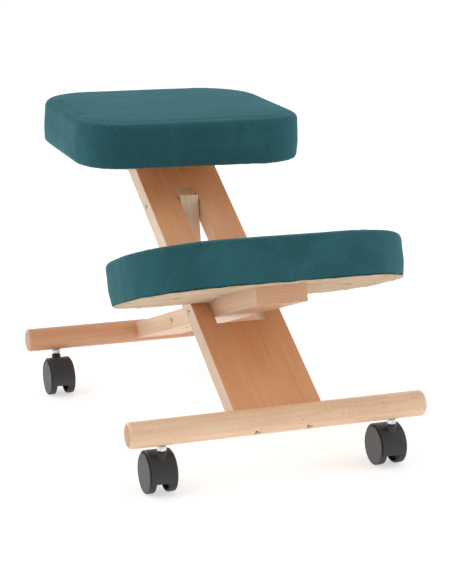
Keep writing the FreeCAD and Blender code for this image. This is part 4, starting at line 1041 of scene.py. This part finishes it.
@dataclass
class Lining:
    """Cloth stretched under a board, over a pad's turned-in hem and flat against its beam.

    Ring positions and the lip's band are shares of the way from the middle to the edge.
    Waves and hollows are counted in a metre, ripples in one step along the edge.
    """

    name: str
    edge: np.ndarray
    beam: Footprint
    seed: int
    thickness: float = 0.5 * MM
    inner_rings: tuple[float, float, int] = (0.04, 0.82, 26)
    outer_rings: tuple[float, float, int] = (0.84, 1.0, 12)
    hem_width: float = 34 * MM
    hem_fade: float = 8 * MM
    hem_waves: float = 60.0
    hem_wave: float = 0.9 * MM
    lip_band: tuple[float, float] = (0.975, 0.025)
    lip: float = 0.7 * MM
    ripples: float = 0.35
    ripple: float = 0.8 * MM
    drop: float = 0.2 * MM
    rise_to_board: float = 0.45
    hollows: float = 14.0
    hollow: float = 0.6 * MM
    beam_gap: float = 0.3 * MM

    def point(self, share: float, index: int, centre: np.ndarray) -> tuple[float, float, float]:
        """One point of the cloth.

        Args:
            share: How far out the point lies, 0 to 1.
            index: Number of the edge's point on the same bearing.
            centre: Middle of the edge.

        Returns:
            Its place in the pad's own frame.
        """
        arm = self.edge[index] - centre
        reach = float(np.linalg.norm(arm))
        x, y, z = centre + arm * share
        board = self.beam.level
        hem = lit((self.hem_width - (1 - share) * reach) / self.hem_fade)
        wave = noise.noise(Vector((x * self.hem_waves, y * self.hem_waves, self.seed)))
        broad = noise.noise(Vector((x * self.hollows, y * self.hollows, self.seed + 9)))
        inner = (1 - hem) * (self.rise_to_board * (board - z) - self.hollow * (0.4 + broad))
        lip = ramp(share, *self.lip_band) * self.lip
        hung = z - self.drop + inner + hem * wave * self.hem_wave + lip
        flat = self.beam.press(x, y)
        ripple = hem * self.ripple * noise.noise(Vector((index * self.ripples, self.seed, 2)))
        out = arm / reach
        height = hung * (1 - flat) + (board - self.beam_gap) * flat
        return (x + out[0] * ripple, y + out[1] * ripple, height)

    def build(self, finish: bpy.types.Material) -> bpy.types.Object:
        """Lay the cloth in rings, close its middle and give it its thickness.

        Args:
            finish: Its material.

        Returns:
            The lining, levelled.
        """
        centre = self.edge.mean(axis=0)
        count = len(self.edge)
        rings = np.r_[np.linspace(*self.inner_rings), np.linspace(*self.outer_rings)]
        vertices = [self.point(share, index, centre) for share in rings for index in range(count)]
        faces = []
        for start in range(0, count * (len(rings) - 1), count):
            for index in range(count):
                here, following = start + index, start + (index + 1) % count
                faces.append((following, here, here + count, following + count))
        faces.append(tuple(range(count)))
        mesh = bpy.data.meshes.new(self.name)
        mesh.from_pydata(vertices, [], faces)
        lining = mesh_object(self.name, mesh)
        with editing(lining):
            bpy.ops.mesh.select_all(action="SELECT")
            bpy.ops.mesh.normals_make_consistent(inside=False)
        modify(lining, "SOLIDIFY", thickness=self.thickness, offset=0.0)
        apply_modifiers(lining)
        bpy.ops.object.shade_smooth()
        dress(lining, finish)
        return lining


@dataclass
class Pad:
    """A board under foam, with a cloth cover pulled down its sides and a lining below.

    Work is done in the pad's own frame, level and with Z out of its top, and turned
    back into place at the end.
    """

    kind: str
    body: str
    tilt: float
    frame: dict
    finishes: Finishes
    beams: tuple[str, ...]
    voxel: float = 4 * MM
    wrap_reach: float = 3 * MM
    held_height: float = 7 * MM
    free_height: float = 12 * MM
    slack: float = 1.8 * MM
    swell: float = 1.4 * MM
    sink: float = 0.3 * MM
    creep: float = 1.0 * MM
    pressure: float = 4.0
    steps: int = 18
    shoulder: float = 1.1 * MM
    end_fill: float = 3.0 * MM
    sag: float = 0.0
    hem_wave: float = 0.6 * MM
    shoulder_wave: float = 0.3 * MM
    scallop: float = 2.0 * MM
    dimple: float = 0.6 * MM
    contact: float = 0.5 * MM
    rim_height: float = 4 * MM
    lining_inset: float = 0.8 * MM
    staple_inset: float = 6 * MM
    staple_pitch: float = 38 * MM
    staple_margin: float = 9 * MM
    staple_drop: float = 0.6 * MM
    staple_size: tuple[float, float, float] = (9.5 * MM, 1.1 * MM, 0.7 * MM)
    staple_bend: float = 0.45 * MM
    tuck: float = 1.2 * MM
    tuck_run: float = 3 * MM
    seed: int = 3
    level: Matrix = field(init=False)

    def __post_init__(self) -> None:
        """Work out the turn that levels the pad."""
        self.level = Matrix.Rotation(math.radians(-self.tilt), 4, "X")

    def local_mesh(self, node: str) -> bpy.types.Mesh:
        """Copy of a node's mesh, levelled.

        Args:
            node: The node.

        Returns:
            The copy.
        """
        mesh = self.frame["nodes"][node].data.copy()
        mesh.transform(self.level)
        return mesh

    def envelope(self) -> bpy.types.Object:
        """One closed skin round the board, foam and cover solids.

        Returns:
            The skin as an even mesh that lies on the cover's solid.
        """
        parts = [mesh_object(f"{self.kind}_{part}_start", self.local_mesh(f"{self.kind}_{part}"))
                 for part in ("cover", "foam", "board")]
        guide = mesh_object(f"{self.kind}_guide", self.local_mesh(f"{self.kind}_cover"))
        for piece in (*parts, guide):
            with editing(piece):
                merge_doubles()
        select_only(*parts)
        bpy.ops.object.join()
        skin = bpy.context.active_object
        skin.name = f"{self.kind}_padded_cover"
        modify(skin, "REMESH", mode="VOXEL", voxel_size=self.voxel)
        modify(skin, "SMOOTH", factor=0.5, iterations=3)
        modify(skin, "SHRINKWRAP", target=guide, wrap_method="PROJECT", use_positive_direction=True,
               use_negative_direction=True, project_limit=self.wrap_reach, cull_face="FRONT",
               use_invert_cull=True)
        apply_modifiers(skin)
        bpy.data.objects.remove(guide)
        return skin

    def draw_in(self, skin: bpy.types.Object) -> None:
        """Start the cloth a little smaller, so that its swelling ends on the foam.

        Args:
            skin: The levelled cover.
        """
        points = points_of(skin)
        low = points[:, 2].min()
        for row, vertex in enumerate(skin.data.vertices):
            free = lit((points[row, 2] - low - self.held_height) / self.free_height)
            points[row] -= np.array(vertex.normal) * self.slack * free
        move_points(skin, points)

    def inflate(self, skin: bpy.types.Object, home: np.ndarray, outward: np.ndarray) -> None:
        """Let the cloth swell over its foam, held at the board's edge.

        Args:
            skin: The cover, drawn in.
            home: Where its points lie on the foam.
            outward: The foam's normals there.
        """
        start = points_of(skin)
        bottom = start[:, 2].min()
        held = skin.vertex_groups.new(name="held")
        rows = np.nonzero(start[:, 2] < bottom + self.held_height)[0]
        held.add(rows.tolist(), 1.0, "REPLACE")
        cloth = modify(skin, "CLOTH")
        assign(cloth.settings, quality=5, mass=0.25, tension_stiffness=18, compression_stiffness=10,
               shear_stiffness=6, bending_stiffness=0.4, use_pressure=True,
               uniform_pressure_force=self.pressure, vertex_group_mass="held")
        cloth.settings.effector_weights.gravity = 0
        cloth.collision_settings.use_collision = False
        assign(cloth.point_cache, frame_start=1, frame_end=self.steps)
        scene = bpy.context.scene
        for step in range(1, self.steps + 1):
            scene.frame_set(step)
        apply_modifiers(skin)
        scene.frame_set(1)
        move = points_of(skin) - home
        rise = np.sum(move * outward, axis=1, keepdims=True)
        LOG.info("%s cloth stands %.2f to %.2f mm off its foam", self.kind,
                 rise.min() / MM, rise.max() / MM)
        slide = move - outward * rise
        cap = np.where(rise < 0, self.sink, self.swell)
        rise = cap * np.tanh(rise / cap)
        length = np.linalg.norm(slide, axis=1, keepdims=True)
        slide *= self.creep * np.tanh(length / self.creep) / np.maximum(length, 1e-9)
        move_points(skin, home + outward * rise + slide)

    def fill_out(self, skin: bpy.types.Object) -> None:
        """Press the foam out: fuller shoulders, longer ends and a hem that sags to one side.

        Args:
            skin: The levelled cover.
        """
        points = points_of(skin)
        low, high = points.min(0), points.max(0)
        centre, half = (low + high) / 2, (high - low) / 2
        for row, vertex in enumerate(skin.data.vertices):
            height = (points[row, 2] - low[2]) / (high[2] - low[2])
            across, deep = (points[row, :2] - centre[:2]) / half[:2]
            brim = ramp(max(abs(across), abs(deep)), *BRIM)
            points[row] += np.array(vertex.normal) * (ridge(height, *FULL_SHOULDER) * self.shoulder)
            points[row, 0] += self.end_fill * ramp(height, *END_RISE) * across
            to_one_side = lit(0.35 + 0.9 * across)
            points[row, 2] -= self.sag * brim * lit(1 - height / SAG_HEIGHT) * to_one_side
        move_points(skin, points)

    def pucker(self, skin: bpy.types.Object) -> None:
        """Pull the cloth into faint waves at its hem and soft dimples on its top.

        Args:
            skin: The levelled cover.
        """
        points = points_of(skin)
        low, high = points.min(0), points.max(0)
        centre = (low + high) / 2
        # Gives each pad a stretch of the noise of its own
        shift = Vector((self.seed * 3.1, self.seed * 1.7, 0))
        for row, vertex in enumerate(skin.data.vertices):
            x, y, z = points[row]
            out = Vector((x - centre[0], y - centre[1], 0))
            if out.length < 1e-6:
                continue
            height = (z - low[2]) / (high[2] - low[2])
            near_hem = lit(1 - height / SCALLOP_HEIGHT) * ramp(out.length, *HEM_REACH)
            reach = near_hem * self.hem_wave + ridge(height, *WAVY_SHOULDER) * self.shoulder_wave
            drop = out.normalized() * noise.noise(Vector(points[row] * WAVES) + shift) * reach
            upright = ramp(vertex.normal.z, *HEM_STEEPNESS)
            droop = noise.noise(Vector((x * SCALLOPS, y * SCALLOPS, self.seed))) * near_hem * upright
            dent = noise.noise(Vector(points[row] * DIMPLES) + shift) * ramp(height, *TOP)
            points[row] += (drop.x, drop.y, dent * self.dimple + droop * self.scallop)
        move_points(skin, points)

    def lay_weave(self, skin: bpy.types.Object) -> None:
        """Lay out the weave's threads: along the edge and up on the sides, square on top.

        Args:
            skin: The levelled cover.
        """
        mesh = skin.data
        points = points_of(skin)
        centre = (points.min(0) + points.max(0)) / 2
        rim = points[np.abs(points[:, 2] - centre[2]) < 1.5 * self.voxel]
        steps = np.linspace(-math.pi, math.pi, WEAVE_RING)
        radius = reach_of(rim, centre, steps)
        edge = np.c_[np.cos(steps), np.sin(steps)] * radius[:, None]
        run = np.r_[0.0, np.cumsum(np.hypot(*np.diff(edge, axis=0).T))]
        weave = mesh.attributes.new("weave", "FLOAT_VECTOR", "CORNER")
        for face in mesh.polygons:
            side = abs(face.normal.z) < SIDE_NORMAL
            first = None
            for loop in face.loop_indices:
                x, y, z = points[mesh.loops[loop].vertex_index]
                if not side:
                    weave.data[loop].vector = (x, y, 0)
                    continue
                bearing = math.atan2(y - centre[1], x - centre[0])
                first = bearing if first is None else first
                whole = round((first - bearing) / math.tau)
                place = float(np.interp(bearing, steps, run)) + whole * run[-1]
                weave.data[loop].vector = (place, z, 0)

    def outline(self, skin: bpy.types.Object, inset: float, count: int) -> np.ndarray:
        """Points round the underside, drawn in from its edge and level with its hem.

        Args:
            skin: The levelled cover.
            inset: How far in, in metres.
            count: How many points.

        Returns:
            Places in the pad's own frame, in order.
        """
        points = points_of(skin)
        low = points[:, 2].min()
        rim = points[points[:, 2] < low + self.rim_height + self.sag]
        centre = (rim.min(0) + rim.max(0)) / 2
        angle, reach = polar(rim, centre)
        bearings = np.linspace(-math.pi, math.pi, count, endpoint=False)
        gaps = np.abs((angle[None, :] - bearings[:, None] + math.pi) % math.tau - math.pi)
        beside = 1.6 * math.pi / count
        far = np.where(gaps < beside, reach[None, :], 0).max(axis=1)
        at_hem = (gaps < math.radians(HEM_SPAN)) & (reach[None, :] > HEM_SHARE * far[:, None])
        foot = np.where(at_hem, rim[None, :, 2], np.inf).min(axis=1)
        smooth = eased(far) - inset
        return np.c_[centre[0] + np.cos(bearings) * smooth, centre[1] + np.sin(bearings) * smooth,
                     eased(foot)]

    def footprint(self) -> Footprint:
        """Measure where the beam, and on the seat its bearer, lies under the board.

        Returns:
            The stretch that they touch.
        """
        board = self.local_mesh(f"{self.kind}_board")
        under = min(vertex.co.z for vertex in board.vertices)
        touching = []
        for node in self.beams:
            mesh = self.local_mesh(node)
            touching += [vertex.co.copy() for vertex in mesh.vertices
                         if abs(vertex.co.z - under) < self.contact]
            bpy.data.meshes.remove(mesh)
        bpy.data.meshes.remove(board)
        ys = [place.y for place in touching]
        return Footprint(max(abs(place.x) for place in touching), min(ys), max(ys), under)

    def tuck_under(self, skin: bpy.types.Object, cut: np.ndarray) -> None:
        """Lift the cover's underside clear of the lining that hides it.

        Args:
            skin: The levelled cover.
            cut: Points round the lining's edge.
        """
        points = points_of(skin)
        centre = cut.mean(axis=0)
        bearing, distance = polar(points, centre)
        inside = reach_of(cut, centre, bearing) - distance
        downward = np.array([vertex.normal.z < -0.5 for vertex in skin.data.vertices])
        under = downward & (points[:, 2] < points[:, 2].min() + self.held_height)
        points[:, 2] += under * np.clip(inside / self.tuck_run, 0, 1) * self.tuck
        move_points(skin, points)

    def bend_staple(self) -> bpy.types.Object:
        """Make one staple, with its crown bent into its legs at both ends.

        Returns:
            The staple, at the origin.
        """
        bpy.ops.object.select_all(action="DESELECT")
        bpy.ops.mesh.primitive_cube_add(size=1)
        staple = bpy.context.active_object
        with editing(staple, "EDGE"):
            bpy.ops.mesh.select_all(action="SELECT")
            bpy.ops.transform.resize(value=self.staple_size)
            shape = bmesh.from_edit_mesh(staple.data)
            choose(staple, shape.edges, lambda edge: edge.verts[0].co.z < 0
                   and abs((edge.verts[0].co - edge.verts[1].co).y) > self.staple_size[1] / 2)
            bpy.ops.mesh.bevel(offset=self.staple_bend, segments=2, affect="EDGES")
        return staple

    def staple(self, skin: bpy.types.Object, beam: Footprint) -> bpy.types.Object:
        """Drive a row of staples through the lining's edge, except where the beam lies.

        Args:
            skin: The levelled cover.
            beam: Where the beam lies.

        Returns:
            All the staples as one piece, levelled.
        """
        edge = self.outline(skin, self.lining_inset + self.staple_inset, FINE_RING)
        master = self.bend_staple()
        copies = []
        travelled = 0.0
        for here, following in zip(edge, np.roll(edge, -1, axis=0)):
            travelled += float(np.linalg.norm(following - here))
            if travelled < self.staple_pitch:
                continue
            travelled = 0.0
            if beam.press(here[0], here[1], self.staple_margin) > 0:
                continue
            copy = mesh_object("staple_copy", master.data.copy())
            bearing = math.atan2(following[1] - here[1], following[0] - here[0])
            place = Matrix.Translation((here[0], here[1], here[2] - self.staple_drop))
            copy.data.transform(place @ Matrix.Rotation(bearing, 4, "Z"))
            copies.append(copy)
        bpy.data.objects.remove(master)
        select_only(*copies)
        bpy.ops.object.join()
        staples = bpy.context.active_object
        staples.name = f"{self.kind}_staples"
        dress(staples, self.finishes.staple)
        return staples

    def settle(self, piece: bpy.types.Object) -> None:
        """Turn a levelled piece back into place and put it on its body.

        Args:
            piece: The piece.
        """
        piece.data.transform(self.level.inverted())
        piece.data.update()
        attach(piece, self.body)
        LOG.info("%s: %d faces", piece.name, len(piece.data.polygons))

    def build(self) -> None:
        """Make the cover, its lining and its staples."""
        skin = self.envelope()
        home = points_of(skin)
        outward = np.array([vertex.normal for vertex in skin.data.vertices])
        self.draw_in(skin)
        self.inflate(skin, home, outward)
        self.fill_out(skin)
        self.pucker(skin)
        cut = self.outline(skin, self.lining_inset, COARSE_RING)
        beam = self.footprint()
        lining = Lining(f"{self.kind}_lining", cut, beam, self.seed).build(self.finishes.lining)
        staples = self.staple(skin, beam)
        self.tuck_under(skin, cut)
        modify(skin, "SUBSURF", levels=1, render_levels=1)
        apply_modifiers(skin)
        self.lay_weave(skin)
        select_only(skin)
        bpy.ops.object.shade_smooth()
        dress(skin, self.finishes.cloth)
        self.settle(skin)
        self.settle(lining)
        self.settle(staples)
        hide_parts(f"{self.kind}_cover", f"{self.kind}_foam")


# Studio
@dataclass
class Studio:
    """Floor, lights and camera."""

    camera_place: tuple[float, float, float] = (-0.8933, -2.4042, 0.8109)
    camera_yaw: float = 21.05
    camera_pitch: float = 13.09
    camera_roll: float = 0.17
    lens: float = 102.62
    sensor_width: float = 36.0
    sight: float = 50.0
    paper_colour: Colour = srgb(208, 208, 208)
    paper_cloud: Colour = srgb(205, 205, 205)
    paper_glow: float = 0.9
    air_light: float = 0.533
    floor_size: float = 10.0
    floor_middle: tuple[float, float, float] = (0.0, -1.5, 0.0)
    wall_height: float = 4.0
    cove_radius: float = 1.6

    def build(self) -> None:
        """Set up everything that isn't the chair."""
        self.lay_floor()
        self.hang_lights()
        self.place_camera()

    def lay_floor(self) -> None:
        """Lay a wide white paper sweep: a floor that bends up into a wall behind."""
        bpy.ops.object.select_all(action="DESELECT")
        bpy.ops.mesh.primitive_plane_add(size=self.floor_size, location=self.floor_middle)
        bpy.ops.object.transform_apply(location=True)
        floor = bpy.context.active_object
        floor.name = "studio_floor"
        rear = max(vertex.co.y for vertex in floor.data.vertices)
        with editing(floor, "EDGE") as shape:
            choose(floor, shape.edges,
                   lambda edge: all(abs(end.co.y - rear) < MM for end in edge.verts))
            bpy.ops.mesh.extrude_region_move(
                TRANSFORM_OT_translate={"value": (0, 0, self.wall_height)})
            shape = bmesh.from_edit_mesh(floor.data)
            choose(floor, shape.edges, lambda edge: all(
                abs(end.co.y - rear) < MM and abs(end.co.z) < MM for end in edge.verts))
            bpy.ops.mesh.bevel(offset=self.cove_radius, segments=20, affect="EDGES")
        bpy.ops.object.shade_smooth()
        shader = Shader("studio_paper")
        fibre = shader.noise(shader.own_space(), scale=3)
        colour = shader.blend(shader.stretch(fibre, 0.3, 0.7, 0.0, 0.3), self.paper_colour,
                              self.paper_cloud)
        dress(floor, shader.finish(Base_Color=colour, Roughness=0.85, Emission_Color=colour,
                                   Emission_Strength=self.paper_glow))

    def area_light(self, name: str, place: Sequence[float], aim: Sequence[float], size: float,
                   power: float) -> None:
        """Hang one soft light.

        Args:
            name: Name of the light.
            place: Where it hangs, in metres.
            aim: Point that it faces.
            size: Side of its square, in metres.
            power: Watts.
        """
        data = bpy.data.lights.new(name, "AREA")
        assign(data, shape="SQUARE", size=size, energy=power)
        lamp = bpy.data.objects.new(name, data)
        bpy.context.scene.collection.objects.link(lamp)
        lamp.location = place
        lamp.rotation_euler = (Vector(aim) - Vector(place)).to_track_quat("-Z", "Y").to_euler()

    def hang_lights(self) -> None:
        """Key from the upper left, an edge light behind it, fills from the right and front."""
        self.area_light("key_left", (-2.6, -0.6, 2.3), (0, 0, 0.3), 1.8, 25)
        self.area_light("edge_left", (-1.8, 1.9, 1.4), (0, 0, 0.35), 1.4, 7.7)
        self.area_light("fill_right", (2.6, -0.8, 1.3), (0, 0, 0.3), 1.8, 24.4)
        self.area_light("fill_front", (1.2, -3.2, 1.1), (0, 0, 0.3), 2.2, 2.3)
        world = bpy.data.worlds.new("studio_air")
        world.use_nodes = True
        background = world.node_tree.nodes["Background"]
        background.inputs["Color"].default_value = (1, 1, 1, 1)
        background.inputs["Strength"].default_value = self.air_light
        bpy.context.scene.world = world

    def place_camera(self) -> None:
        """Stand the camera where the photograph was taken."""
        data = bpy.data.cameras.new("photo_camera")
        assign(data, lens=self.lens, sensor_width=self.sensor_width, clip_end=self.sight)
        camera = bpy.data.objects.new("photo_camera", data)
        scene = bpy.context.scene
        scene.collection.objects.link(camera)
        turn = (Matrix.Rotation(math.radians(-self.camera_yaw), 4, "Z")
                @ Matrix.Rotation(math.radians(90 - self.camera_pitch), 4, "X")
                @ Matrix.Rotation(math.radians(self.camera_roll), 4, "Z"))
        camera.matrix_world = Matrix.Translation(self.camera_place) @ turn
        scene.camera = camera
        scene.view_settings.view_transform = "Standard"


def main() -> None:
    """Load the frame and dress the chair."""
    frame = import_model()
    finishes = Finishes()
    BeechWork(frame, finishes).build()
    CastorWork(frame, finishes).build()
    Fasteners(frame, finishes).build()
    Pad("seat", "seat_frame", SEAT_TILT, frame, finishes, ("seat_beam", "seat_bearer"),
        lining_inset=8 * MM, shoulder=2.1 * MM, end_fill=1.4 * MM, sag=2.4 * MM).build()
    Pad("knee", "knee_frame", KNEE_BEAM_SLOPE, frame, finishes, ("knee_beam",), seed=8).build()
    Studio().build()


if __name__ == "__main__":
    main()
